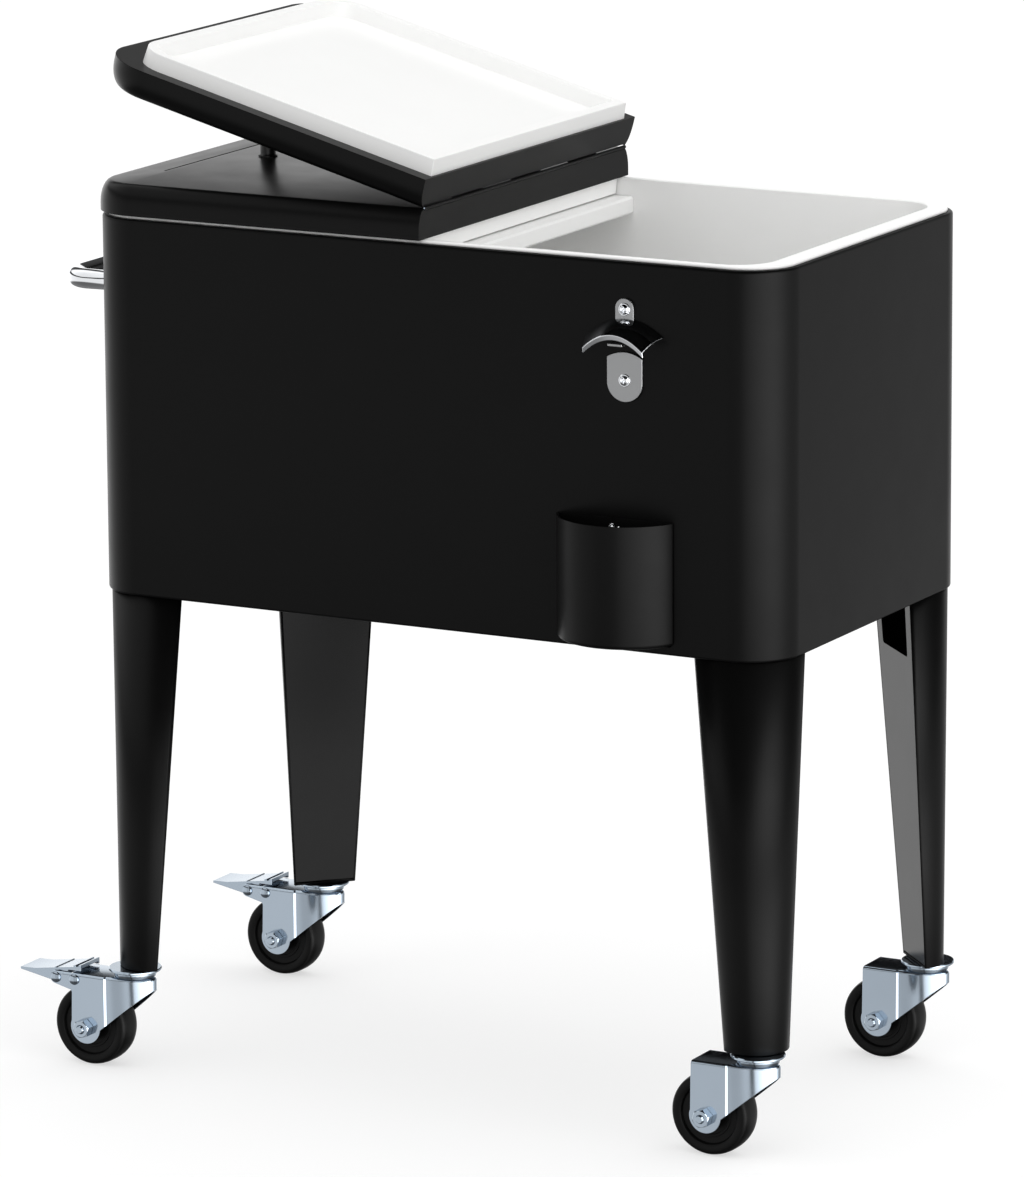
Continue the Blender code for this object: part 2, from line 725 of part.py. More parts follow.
def hinge_pin():
    half = barrel_half()
    profile = [(PIN_RADIUS, -half), (PIN_RADIUS, half)]
    place("hinge_pin", turned_y(profile, (0, HINGE_Z), BARREL_STEPS), "zinc", (0, 0, HINGE_Z))


def leg_section(z, radius_change=0.0, chord_change=0.0):
    """Arc points of a leg's half-round section at a height, for the leg at +X +Y, seen from its inner side."""
    share = (z - LEG_FOOT_Z) / (LEG_TOP_Z - LEG_FOOT_Z)
    radius = LEG_FOOT_RADIUS + share * (LEG_TOP_RADIUS - LEG_FOOT_RADIUS)
    inset = LEG_FOOT_INSET + share * (LEG_TOP_INSET - LEG_FOOT_INSET)
    centre = (HALF_L - inset - radius, HALF_W - inset - radius)
    chord = LEG_FOOT_CHORD + share * (LEG_TOP_CHORD - LEG_FOOT_CHORD) + chord_change
    r = radius + radius_change
    half_turn = math.degrees(math.acos(chord / r))
    return arc(centre, r, 45 - half_turn, 45 + half_turn, LEG_ARC_STEPS)


def corner_turn(sx, sy):
    """Mirrors the leg at +X +Y to another corner."""
    return Matrix.Diagonal((sx, sy, 1, 1))


def leg_shell(name, sx, sy):
    """Tapered half-round leg of bent sheet, closed by a foot plate at its lower end."""
    bm = bmesh.new()
    foot_top = LEG_FOOT_Z + LEG_FOOT_PLATE

    def points(z, change=0.0):
        return [bm.verts.new((x, y, z)) for x, y in leg_section(z, change)]

    low, mid, top = points(LEG_FOOT_Z), points(foot_top), points(LEG_TOP_Z)
    mid_in, top_in = points(foot_top, -LEG_SHEET), points(LEG_TOP_Z, -LEG_SHEET)
    for a, b in ((low, mid), (mid, top), (top, top_in), (top_in, mid_in)):
        for i in range(LEG_ARC_STEPS):
            bm.faces.new((a[i], a[i + 1], b[i + 1], b[i]))
    bm.faces.new(low)
    bm.faces.new(mid_in)
    bm.faces.new((low[0], mid[0], mid_in[0], mid_in[-1], mid[-1], low[-1]))
    bm.faces.new((mid[0], top[0], top_in[0], mid_in[0]))
    bm.faces.new((mid[-1], top[-1], top_in[-1], mid_in[-1]))
    place(f"{name}_leg_shell", bm, "black_enamel", (0, 0, 0), corner_turn(sx, sy))


def leg_brace(name, sx, sy):
    """Flat inner plate of a leg, with a window below the body and a flange that the leg bolts hold."""
    low, high = LEG_FOOT_Z + LEG_FOOT_PLATE + GAP, LEG_TOP_Z
    inside = -LEG_SHEET - GAP
    turn = corner_turn(sx, sy)
    outward = Vector((1, 1, 0)).normalized()

    def chord_ends(z, behind=0.0):
        edge = leg_section(z, inside, behind)
        return Vector((*edge[0], z)), Vector((*edge[-1], z))

    def hollow_ring(z):
        first, last = chord_ends(z, LEG_SHEET)
        side = (last - first).normalized() * OVERRUN
        far = outward * 2 * LEG_TOP_RADIUS
        return [first - side, last + side, last + side + far, first - side + far]

    def window_ring(z):
        first, last = chord_ends(z)
        middle = (first + last) / 2
        across = (last - first) / 2 * WINDOW_SHARE
        out = outward * OVERRUN
        return [middle - across - out, middle + across - out, middle + across + out, middle - across + out]

    whole = lofted([[(x, y, z) for x, y in leg_section(z, inside)] for z in (low, high)])
    brace = place(f"{name}_leg_brace", whole, "black_enamel_inside", (0, 0, 0), turn)
    hollow = lofted([hollow_ring(low - OVERRUN), hollow_ring(high - LEG_FLANGE)])
    combine(brace, place(f"{name}_leg_hollow", hollow, None, (0, 0, 0), turn), "DIFFERENCE")
    win_top = high - WINDOW_TOP_DROP
    cuts = lofted([window_ring(win_top - WINDOW_HEIGHT), window_ring(win_top)])
    for x, y in leg_bolt_places()[-2:]:
        drill = circle((x, y), LEG_BOLT_RADIUS + GAP, BARREL_STEPS)
        add_solid(cuts, prism(drill, high - LEG_FLANGE - OVERRUN, high + OVERRUN))
    combine(brace, place(f"{name}_brace_cuts", cuts, None, (0, 0, 0), turn), "DIFFERENCE")


def caster_mount(name, x, y):
    """Top plate and upper raceway of a caster, with the kingpin riveted under the fork."""
    top = LEG_FOOT_Z - GAP
    plate = top - MOUNT_PLATE
    seat = FORK_TOP + GAP
    pin_end = FORK_TOP - FORK_SHEET - GAP
    head_end = pin_end - KINGPIN_HEAD_THICK
    profile = [
        (KINGPIN_HEAD - KINGPIN_HEAD_THICK, head_end),
        (KINGPIN_HEAD, pin_end - KINGPIN_HEAD_THICK / 2),
        (KINGPIN_HEAD, pin_end),
        (KINGPIN_RADIUS, pin_end),
        (KINGPIN_RADIUS, seat),
        (RACEWAY_RADIUS - KINGPIN_HEAD_THICK, seat),
        (RACEWAY_RADIUS, seat + KINGPIN_HEAD_THICK),
        (RACEWAY_RADIUS, plate),
        (MOUNT_RADIUS, plate),
        (MOUNT_RADIUS, top),
    ]
    place(f"{name}_caster_mount", turned(profile, (x, y)), "zinc")


def fork_side(braked):
    """Side outline of a fork in X and Z from the swivel axis: lobe round the axle, slant up to the nose."""
    back = AXLE_X - FORK_BACK
    nose = FORK_NOSE
    points = arc((AXLE_X, AXLE_Z), LOBE_RADIUS, 160, 355, LOBE_STEPS)
    points.append((nose, FORK_TOP - FORK_NOSE_DROP))
    points.append((nose, FORK_TOP))
    if braked:
        ear = arc((PIVOT_X, PIVOT_Z), EAR_END, 95, 250, EAR_STEPS)
        points += [(x, min(z, FORK_TOP)) for x, z in ear]
        points.append((back, PIVOT_Z - EAR_LENGTH / 2))
    else:
        points.append((back, FORK_TOP))
    return points


def fork_plan(inset, back):
    """Plan outline of a fork: straight sides that step in at the bend and run into a rounded nose."""
    bend = -FORK_BEND
    half = FORK_HALF - inset
    nose = arc((bend, 0), FORK_NOSE - bend - inset, -90, 90, FORK_NOSE_STEPS, half - FORK_STEP)
    step = bend - 2 * FORK_STEP
    return [(back, -half), (step, -half), *nose, (step, half), (back, half)]


def caster_fork(name, x, y, braked):
    """Stamped fork: one sheet bent round the nose, with open back, kingpin hole and axle holes."""
    origin = (x, y, FORK_TOP)
    move = Matrix.Translation((x, y, 0))
    end = AXLE_X - FORK_BACK - EAR_LENGTH - LOBE_RADIUS
    fork = place(f"{name}_fork", prism_y(fork_side(braked), -FORK_HALF - OVERRUN, FORK_HALF + OVERRUN), "zinc", origin, move)
    whole = prism(fork_plan(0, end), -OVERRUN, FORK_TOP + OVERRUN)
    inside = prism(fork_plan(FORK_SHEET, end - OVERRUN), -2 * OVERRUN, FORK_TOP - FORK_SHEET)
    combine(fork, place(f"{name}_fork_plan", whole, None, origin, move), "INTERSECT")
    combine(fork, place(f"{name}_fork_hollow", inside, None, origin, move), "DIFFERENCE")
    pin = turned([(KINGPIN_RADIUS + PIVOT_CLEARANCE, FORK_TOP - 2 * OVERRUN), (KINGPIN_RADIUS + PIVOT_CLEARANCE, FORK_TOP + OVERRUN)])
    combine(fork, place(f"{name}_kingpin_cut", pin, None, origin, move), "DIFFERENCE")
    reach = FORK_HALF + OVERRUN
    holes = turned_y([(AXLE_RADIUS + GAP, -reach), (AXLE_RADIUS + GAP, reach)], (AXLE_X, AXLE_Z), BARREL_STEPS)
    if braked:
        for pin_x in (PIVOT_X, SHOE_PIN_X):
            radius = RIVET_RADIUS + GAP
            add_solid(holes, turned_y([(radius, -reach), (radius, reach)], (pin_x, PIVOT_Z), BARREL_STEPS))
        open_top = [(end, -FORK_HALF + FORK_SHEET), (AXLE_X - FORK_BACK, -FORK_HALF + FORK_SHEET)]
        open_top += [(AXLE_X - FORK_BACK, FORK_HALF - FORK_SHEET), (end, FORK_HALF - FORK_SHEET)]
        slot = prism(open_top, FORK_TOP - FORK_SHEET - OVERRUN, FORK_TOP + OVERRUN)
        combine(fork, place(f"{name}_ear_cut", slot, None, origin, move), "DIFFERENCE")
    combine(fork, place(f"{name}_pin_cuts", holes, None, origin, move), "DIFFERENCE")


def caster_wheel(name, x, y):
    """Wheel with crowned tread, recessed web and a bored hub."""
    half, hub = WHEEL_WIDTH / 2, HUB_WIDTH / 2
    bore = AXLE_RADIUS + PIVOT_CLEARANCE
    tread = WHEEL_RADIUS
    shoulder = WHEEL_SHOULDER
    side = [
        (bore, hub),
        (HUB_RADIUS, hub),
        (HUB_RADIUS, half - WHEEL_RECESS),
        (tread - WHEEL_RIM - WHEEL_RECESS / 2, half - WHEEL_RECESS),
        (tread - WHEEL_RIM, half),
        (tread - shoulder, half),
        (tread - WHEEL_CROWN - shoulder / 4, half - shoulder / 3),
        (tread, half - shoulder),
    ]
    profile = side + [(r, -z) for r, z in reversed(side)]
    bm = turned_y(profile, (AXLE_X, AXLE_Z), WHEEL_STEPS, wrap=True)
    place(f"{name}_wheel", bm, "black_rubber", (x + AXLE_X, y, AXLE_Z), Matrix.Translation((x, y, 0)))


def caster_axle(name, x, y):
    """Axle bolt with its hex head on the far side, and the nut on the near side."""
    seat = FORK_HALF + GAP
    centre = (AXLE_X, AXLE_Z)
    move = Matrix.Translation((x, y, 0))
    origin = (x + AXLE_X, y, AXLE_Z)
    nut_end = -seat - NUT_HEIGHT
    head = hexagon(centre, NUT_ACROSS)

    def fine(points, y_value):
        count = len(points)
        row = []
        for i, (px, pz) in enumerate(points):
            nx, nz = points[(i + 1) % count]
            row += [(px, y_value, pz), ((px + nx) / 2, y_value, (pz + nz) / 2)]
        return row

    def round_ring(radius, y_value):
        return [(px, y_value, pz) for px, pz in arc(centre, radius, 30, 390, 12)[:-1]]

    rings = [
        round_ring(AXLE_RADIUS - BOLT_POINT / 2, nut_end - BOLT_POINT),
        round_ring(AXLE_RADIUS, nut_end - BOLT_POINT / 2),
        round_ring(AXLE_RADIUS, seat),
        fine(head, seat),
        fine(head, seat + BOLT_HEAD_HEIGHT),
    ]
    place(f"{name}_axle_bolt", lofted(rings), "zinc", origin, move)
    bore = AXLE_RADIUS + GAP
    rings = [fine(head, -seat), fine(head, nut_end), round_ring(bore, nut_end), round_ring(bore, -seat)]
    place(f"{name}_axle_nut", lofted(rings, wrap=True), "zinc", origin, move)


def brake_rivets(name, x, y):
    """The pedal's pivot and the shoe pin, two equal rivets across the fork's ears."""
    seat = FORK_HALF + GAP
    end = seat + RIVET_HEAD_HEIGHT
    for piece, pin_x in (("pedal_pivot", PIVOT_X), ("shoe_pin", SHOE_PIN_X)):
        profile = [(RIVET_HEAD / 2, -end), (RIVET_HEAD, -seat - RIVET_HEAD_HEIGHT / 3), (RIVET_HEAD, -seat)]
        profile += [(RIVET_RADIUS, -seat), (RIVET_RADIUS, seat)]
        profile += [(RIVET_HEAD, seat), (RIVET_HEAD, seat + RIVET_HEAD_HEIGHT / 3), (RIVET_HEAD / 2, end)]
        bm = turned_y(profile, (pin_x, PIVOT_Z), BARREL_STEPS)
        place(f"{name}_{piece}", bm, "zinc", (x + pin_x, y, PIVOT_Z), Matrix.Translation((x, y, 0)))


def pedal_side():
    """Side outline of a brake pedal in X and Z: tread, raised rear edge, and cheeks down to the pivot."""
    tip = PIVOT_X - PEDAL_TIP
    tip_z = PIVOT_Z + PEDAL_TIP_RISE
    rear = PIVOT_X + PEDAL_REAR
    rear_z = PIVOT_Z + PEDAL_REAR_RISE
    deck = FORK_TOP + PEDAL_REAR_LIFT
    eye = arc((PIVOT_X, PIVOT_Z), PEDAL_EYE, 300, 240, 4)
    points = [(tip, tip_z - PEDAL_TIP_THICK), (tip, tip_z), (tip + PEDAL_TREAD, tip_z + PEDAL_RIB / 4)]
    points += [(rear - 2 * PEDAL_RIB, rear_z), (rear - 2 * PEDAL_RIB, rear_z + PEDAL_RIB)]
    points += [(rear, rear_z + PEDAL_RIB), (rear, deck), (PIVOT_X + PEDAL_CHEEK, deck)]
    return points + eye


def brake_pedal(name, x, y):
    """Pressed pedal: a tread with two cheeks that turn on the front rivet."""
    origin = (x + PIVOT_X, y, PIVOT_Z)
    move = Matrix.Translation((x, y, 0))
    half = FORK_HALF - FORK_SHEET - PEDAL_SIDE_GAP
    pedal = place(f"{name}_brake_pedal", prism_y(pedal_side(), -half, half), "zinc", origin, move)
    inner = half - PEDAL_SHEET
    tip = PIVOT_X - PEDAL_TIP + PEDAL_TREAD / 2
    rear = PIVOT_X + PEDAL_REAR + OVERRUN
    low = PIVOT_Z - PEDAL_EYE - OVERRUN
    start = PIVOT_Z + PEDAL_TIP_RISE - PEDAL_SHEET
    tread = (PIVOT_X - PEDAL_TIP + PEDAL_TREAD, start)
    slope = (PEDAL_REAR_RISE - PEDAL_TIP_RISE) / (PEDAL_REAR + PEDAL_TIP - PEDAL_TREAD)
    hollow = [(tip, start), (tip, low), (rear, low), (rear, start + slope * (rear - tread[0])), tread]
    combine(pedal, place(f"{name}_pedal_hollow", prism_y(hollow, -inner, inner), None, origin, move), "DIFFERENCE")
    radius = RIVET_RADIUS + PIVOT_CLEARANCE
    reach = half + OVERRUN
    hole = turned_y([(radius, -reach), (radius, reach)], (PIVOT_X, PIVOT_Z), BARREL_STEPS)
    combine(pedal, place(f"{name}_pedal_eye_cut", hole, None, origin, move), "DIFFERENCE")


def end_handle():
    """Bent tube handle on the left end, with a flange at each foot."""
    wall = -HALF_L - GAP
    bar_x = -HALF_L - HANDLE_REACH
    bend = HANDLE_BEND
    path = [(wall, -HANDLE_HALF_SPAN), (wall - HANDLE_FLANGE_THICK, -HANDLE_HALF_SPAN)]
    path = [*path, path[-1]]
    path += arc((bar_x + bend, -HANDLE_HALF_SPAN + bend), bend, 270, 180, HANDLE_BEND_STEPS)
    path += [(x, -y) for x, y in reversed(path)]
    radii = [HANDLE_FLANGE, HANDLE_FLANGE, HANDLE_RADIUS]
    radii += [HANDLE_RADIUS] * (len(path) - 6) + radii[::-1]
    rings = []
    for i, ((x, y), radius) in enumerate(zip(path, radii)):
        if i < 3:
            along = Vector((-1, 0, 0))
        elif i > len(path) - 4:
            along = Vector((1, 0, 0))
        else:
            before, after = path[i - 1], path[i + 1]
            along = Vector((after[0] - before[0], after[1] - before[1], 0)).normalized()
        side = along.cross(Vector((0, 0, 1)))
        centre = Vector((x, y, HANDLE_Z))
        turn = [2 * math.pi * k / TUBE_SIDES for k in range(TUBE_SIDES)]
        rings.append([centre + radius * (math.cos(a) * side + math.sin(a) * Vector((0, 0, 1))) for a in turn])
    place("end_handle", lofted(rings), "chrome")


def hood_section(share):
    """One cross-section of the opener's hood, from its left tip to its right one."""
    turn = 2 * share - 1
    wall_y = FRONT - GAP - OPENER_PLATE / 2
    lip_y = FRONT - HOOD_REACH
    wall_z = BODY_TOP - HOOD_TOP_BELOW - HOOD_WALL_SAG * turn * turn
    lip_z = BODY_TOP - HOOD_TOP_BELOW - HOOD_DROP - HOOD_LIP_SAG * turn * turn
    wall_x = OPENER_X + HOOD_WALL_HALF * turn
    lip_x = OPENER_X + HOOD_LIP_HALF * turn
    return [
        (wall_x, wall_y, wall_z),
        (lip_x, lip_y, lip_z),
        (lip_x, lip_y, lip_z - HOOD_LIP_THICK),
        (lip_x, lip_y + HOOD_THICK, lip_z - HOOD_LIP_THICK),
        (lip_x, lip_y + 2 * HOOD_THICK, lip_z - HOOD_THICK),
        (wall_x, wall_y, wall_z - HOOD_THICK),
    ]


def bottle_opener():
    """Cast wall opener: a back plate with a round lower end, an arched hood and the tooth under it."""
    top = BODY_TOP - OPENER_TOP_BELOW
    bottom = BODY_TOP - PLATE_BOTTOM_BELOW
    shoulder = BODY_TOP - HOOD_TOP_BELOW - HOOD_WALL_SAG
    tab = arc((OPENER_X, top - TAB_HALF), TAB_HALF, 0, 180, 12)
    round_end = arc((OPENER_X, bottom + PLATE_HALF), PLATE_HALF, 180, 360, 16)
    outline = tab + [(OPENER_X - TAB_HALF, shoulder + TAB_LENGTH / 4), (OPENER_X - PLATE_HALF, shoulder)] + round_end
    outline += [(OPENER_X + PLATE_HALF, shoulder), (OPENER_X + TAB_HALF, shoulder + TAB_LENGTH / 4)]
    near, far = FRONT - GAP - OPENER_PLATE, FRONT - GAP
    opener = place("bottle_opener", prism_y(outline, near, far), "stainless")
    hood = lofted([hood_section(i / HOOD_STEPS) for i in range(HOOD_STEPS + 1)])
    combine(opener, place("opener_hood", hood), "UNION")
    tooth_z = BODY_TOP - TOOTH_BELOW
    half = TOOTH_WIDTH / 2
    tooth = [(OPENER_X - half, tooth_z), (OPENER_X + half, tooth_z)]
    tooth += [(OPENER_X + half, tooth_z + TOOTH_THICK), (OPENER_X - half, tooth_z + TOOTH_THICK)]
    combine(opener, place("opener_tooth", prism_y(tooth, near - TOOTH_REACH, (near + far) / 2)), "UNION")
    holes = bmesh.new()
    screw = SCREW_SHANK + GAP
    spots = [(top - TAB_SCREW_DROP, screw), (top - SPARE_HOLE_DROP, SPARE_HOLE), (BODY_TOP - PLATE_SCREW_BELOW, screw)]
    for z, radius in spots:
        drill = turned_y([(radius, near - OVERRUN), (radius, far + OVERRUN)], (OPENER_X, z), BARREL_STEPS)
        add_solid(holes, drill)
    combine(opener, place("opener_holes", holes), "DIFFERENCE")


def pan_screw(name, x, z, seat, end):
    """A round-headed screw whose head lies on a face towards the front and whose shank runs inwards."""
    head = SCREW_HEAD_HEIGHT
    profile = [(SCREW_HEAD / 3, seat - head), (SCREW_HEAD * 2 / 3, seat - head * 4 / 5), (SCREW_HEAD, seat - head / 3)]
    profile += [(SCREW_HEAD, seat), (SCREW_SHANK, seat), (SCREW_SHANK, end)]
    place(name, turned_y(profile, (x, z), 2 * BARREL_STEPS), "stainless")


def front_screws():
    """Screws of the opener and of the catcher, which end at the body's sheet."""
    seat = FRONT - 2 * GAP - OPENER_PLATE
    end = FRONT - GAP
    upper = BODY_TOP - OPENER_TOP_BELOW - TAB_SCREW_DROP
    pan_screw("opener_upper_screw", OPENER_X, upper, seat, end)
    pan_screw("opener_lower_screw", OPENER_X, BODY_TOP - PLATE_SCREW_BELOW, seat, end)
    catcher_z = BODY_TOP - CATCHER_TOP_BELOW - CATCHER_SCREW_DROP
    pan_screw("catcher_screw", CATCHER_X, catcher_z, FRONT - 2 * GAP - CATCHER_WALL, end)


def catcher_plan(inset):
    """D-shaped outline of the catcher, its flat side on the body."""
    radius = (CATCHER_HALF**2 + CATCHER_DEPTH**2) / (2 * CATCHER_DEPTH)
    back = FRONT - GAP - inset
    centre = (CATCHER_X, FRONT - GAP - CATCHER_DEPTH + radius)
    r = radius - inset
    half_turn = math.degrees(math.acos((centre[1] - back) / r))
    return arc(centre, r, 270 - half_turn, 270 + half_turn, CATCHER_STEPS)


def cap_catcher():
    """Half-round cup for bottle caps, open at the top, with a screw hole in its back."""
    top = BODY_TOP - CATCHER_TOP_BELOW
    bottom = top - CATCHER_HEIGHT
    wall = CATCHER_WALL
    rings = [
        at_height(catcher_plan(CATCHER_EDGE), bottom),
        at_height(catcher_plan(CATCHER_EDGE / 3), bottom + CATCHER_EDGE / 3),
        at_height(catcher_plan(0), bottom + CATCHER_EDGE),
        at_height(catcher_plan(0), top),
        at_height(catcher_plan(wall), top),
        at_height(catcher_plan(wall), bottom + CATCHER_EDGE),
        at_height(catcher_plan(CATCHER_EDGE + wall), bottom + CATCHER_FLOOR),
    ]
    catcher = place("cap_catcher", lofted(rings), "black_enamel")
    z = top - CATCHER_SCREW_DROP
    radius = SCREW_SHANK + GAP
    drill = turned_y([(radius, FRONT - OVERRUN), (radius, FRONT + OVERRUN)], (CATCHER_X, z), BARREL_STEPS)
    combine(catcher, place("catcher_hole", drill), "DIFFERENCE")


def body():
    outer_shell()
    base_pan()
    foam_core()
    tub_liner()
    centre_bar()
    drain()


def lids():
    for side, first in (("left", 0), ("right", 1)):
        lid_shell(side)
        lid_plug(side)
        lid_foam(side)
        lid_knob(side)
        hinge_leaf(side, first)
    hinge_pin()


def undercarriage():
    corners = (("front_left", -1, -1), ("front_right", 1, -1), ("rear_right", 1, 1), ("rear_left", -1, 1))
    for name, sx, sy in corners:
        leg_shell(name, sx, sy)
        leg_brace(name, sx, sy)
        x, y = sx * CASTER_X, sy * CASTER_Y
        braked = sx < 0
        caster_mount(name, x, y)
        caster_fork(name, x, y, braked)
        caster_wheel(name, x, y)
        caster_axle(name, x, y)
        if braked:
            brake_rivets(name, x, y)
            brake_pedal(name, x, y)


def fittings():
    end_handle()
    bottle_opener()
    cap_catcher()
    front_screws()


def centre_on_floor():
    """Moves the whole part so that its bounding box is centred over the origin and stands on z = 0."""
    bpy.context.view_layer.update()
    graph = bpy.context.evaluated_depsgraph_get()
    low, high = Vector((math.inf,) * 3), Vector((-math.inf,) * 3)
    for obj in bpy.context.collection.objects:
        if obj.hide_render:
            continue
        evaluated = obj.evaluated_get(graph)
        for corner in evaluated.bound_box:
            point = evaluated.matrix_world @ Vector(corner)
            low = Vector(map(min, low, point))
            high = Vector(map(max, high, point))
    shift = Vector((-(low.x + high.x) / 2, -(low.y + high.y) / 2, -low.z))
    for obj in bpy.context.collection.objects:
        obj.location += shift
    print("shift", [round(v, 7) for v in shift], "size", [round(v, 5) for v in high - low])


def main():
    for obj in list(bpy.data.objects):
        bpy.data.objects.remove(obj)
    body()
    lids()
    undercarriage()
    fittings()
    centre_on_floor()


main()
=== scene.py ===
"""Dresses the rolling patio cooler: enamelled steel, white liners, plated casters and wall fittings.

Every length is in metres in the frame's own axes: +X along the body away from the end handle,
+Y to the rear and +Z up, with the floor at z = 0.
"""

import json
import logging
import math
from collections.abc import Callable, Iterable, Sequence
from dataclasses import dataclass
from enum import Enum

import bmesh
import bpy
from bmesh.types import BMEdge, BMesh, BMFace, BMVert
from mathutils import Matrix, Vector

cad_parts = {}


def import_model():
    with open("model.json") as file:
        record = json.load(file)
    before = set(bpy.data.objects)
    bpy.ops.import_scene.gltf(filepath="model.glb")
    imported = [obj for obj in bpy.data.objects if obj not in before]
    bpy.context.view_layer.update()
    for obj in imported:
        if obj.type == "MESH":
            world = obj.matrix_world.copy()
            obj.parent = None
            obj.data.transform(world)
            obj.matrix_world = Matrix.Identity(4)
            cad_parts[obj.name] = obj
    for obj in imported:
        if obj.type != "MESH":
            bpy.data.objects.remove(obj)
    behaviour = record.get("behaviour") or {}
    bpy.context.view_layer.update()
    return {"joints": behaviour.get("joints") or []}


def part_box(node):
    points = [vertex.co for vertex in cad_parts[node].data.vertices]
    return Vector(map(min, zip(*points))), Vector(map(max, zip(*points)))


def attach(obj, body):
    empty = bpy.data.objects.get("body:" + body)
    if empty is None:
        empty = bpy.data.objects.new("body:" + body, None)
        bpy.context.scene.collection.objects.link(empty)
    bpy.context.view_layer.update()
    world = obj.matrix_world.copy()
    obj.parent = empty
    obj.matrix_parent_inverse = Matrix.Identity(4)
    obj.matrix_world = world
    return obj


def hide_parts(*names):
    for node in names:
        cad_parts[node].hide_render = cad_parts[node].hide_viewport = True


Pair = tuple[float, float]
Triple = tuple[float, float, float]
Test = Callable[[Vector], bool]

LOG = logging.getLogger("cooler")
MM = 0.001
# Two places closer than this are the same.
NEAR = 1e-5
# The clearance between pieces that stand against each other.
GAP = 0.3 * MM
# How far a cutter reaches past what it cuts.
PAST = 4 * MM
UP = Vector((0, 0, 1))
REAR = Vector((0, 1, 0))
FRONT = Vector((0, -1, 0))


class Grain(Enum):
    """How a surface was made, which decides its fine relief."""

    ORANGE_PEEL = "sprayed and baked"
    MOULDED = "moulded"
    PLATED = "plated over pressed sheet"
    BRUSHED = "brushed one way"
    POLISHED = "polished"


@dataclass(frozen=True)
class Finish:
    """One surface finish, from which a node material is made.

    grain_size is the width of one speck or bump, relief its height, and shade the share by which the
    colour wanders. mottle is the share by which the roughness wanders over patches of mottle_size.
    """

    name: str
    colour: str
    roughness: float
    grain: Grain
    grain_size: float
    relief: float
    metallic: float = 0.0
    specular: float = 0.5
    coat: float = 0.0
    coat_roughness: float = 0.1
    shade: float = 0.04
    mottle: float = 0.15
    mottle_size: float = 40 * MM

    def material(self) -> bpy.types.Material:
        """Makes the finish's material once and hands the same one out again.

        Returns:
            The node material, on Object coordinates.
        """
        made = bpy.data.materials.get(self.name)
        if made:
            return made
        made = bpy.data.materials.new(self.name)
        made.use_nodes = True
        tree = made.node_tree
        shader = tree.nodes["Principled BSDF"]
        shader.inputs["Metallic"].default_value = self.metallic
        shader.inputs["Coat Weight"].default_value = self.coat
        shader.inputs["Coat Roughness"].default_value = self.coat_roughness
        if not self.metallic:
            shader.inputs["Specular IOR Level"].default_value = self.specular
        place = add_node(tree, "ShaderNodeTexCoord")
        links = {"Vector": place.outputs["Object"]}
        drawn = add_node(tree, "ShaderNodeMapping", links, Scale=self.stretch())
        broad = add_node(
            tree, "ShaderNodeTexNoise", links, Scale=1 / self.mottle_size, Detail=3.0, Roughness=0.55
        )
        links = {"Vector": drawn.outputs["Vector"]}
        fine = add_node(
            tree, "ShaderNodeTexNoise", links, Scale=1 / self.grain_size, Detail=2.0, Roughness=0.5
        )
        limits = (self.roughness * (1 - self.mottle), self.roughness * (1 + self.mottle))
        rough = ranged(tree, broad.outputs["Fac"], goal=limits)
        tint = add_node(tree, "ShaderNodeMix", {"Factor": broad.outputs["Fac"]}, data_type="RGBA")
        base = linear(self.colour)
        tint.inputs["A"].default_value = tuple(c * (1 - self.shade) for c in base[:3]) + (1,)
        tint.inputs["B"].default_value = tuple(min(1, c * (1 + self.shade)) for c in base[:3]) + (1,)
        bump = add_node(tree, "ShaderNodeBump", {"Height": fine.outputs["Fac"]}, Strength=1.0)
        bump.inputs["Distance"].default_value = self.relief
        tree.links.new(tint.outputs["Result"], shader.inputs["Base Color"])
        tree.links.new(rough, shader.inputs["Roughness"])
        tree.links.new(bump.outputs["Normal"], shader.inputs["Normal"])
        return made

    def stretch(self) -> Triple:
        """How the grain is drawn out: brushed metal has its lines along Z."""
        return (1.0, 1.0, 0.03) if self.grain is Grain.BRUSHED else (1.0, 1.0, 1.0)


def add_node(
    tree: bpy.types.NodeTree, kind: str, links: dict | None = None, **settings: object
) -> bpy.types.Node:
    """Adds one node with its links and settings.

    Args:
        tree: The material's node tree.
        kind: The node's type name.
        links: Input name to the output that feeds it.
        settings: Input values by name, or attributes of the node.

    Returns:
        The new node.
    """
    node = tree.nodes.new(kind)
    for name, value in settings.items():
        if name in node.inputs:
            node.inputs[name].default_value = value
        else:
            setattr(node, name, value)
    for name, output in (links or {}).items():
        tree.links.new(output, node.inputs[name])
    return node


def ranged(
    tree: bpy.types.NodeTree,
    value: bpy.types.NodeSocket,
    start: Pair = (0.0, 1.0),
    goal: Pair = (0.0, 1.0),
    curve: str = "LINEAR",
) -> bpy.types.NodeSocket:
    """Maps a value from one range to another.

    Args:
        tree: The node tree.
        value: The value.
        start: The range that it comes from.
        goal: The range that it goes to.
        curve: The course between the two ends.

    Returns:
        The mapped value.
    """
    node = add_node(tree, "ShaderNodeMapRange", {"Value": value}, interpolation_type=curve)
    for name, number in zip(("From Min", "From Max", "To Min", "To Max"), (*start, *goal)):
        node.inputs[name].default_value = number
    return node.outputs["Result"]


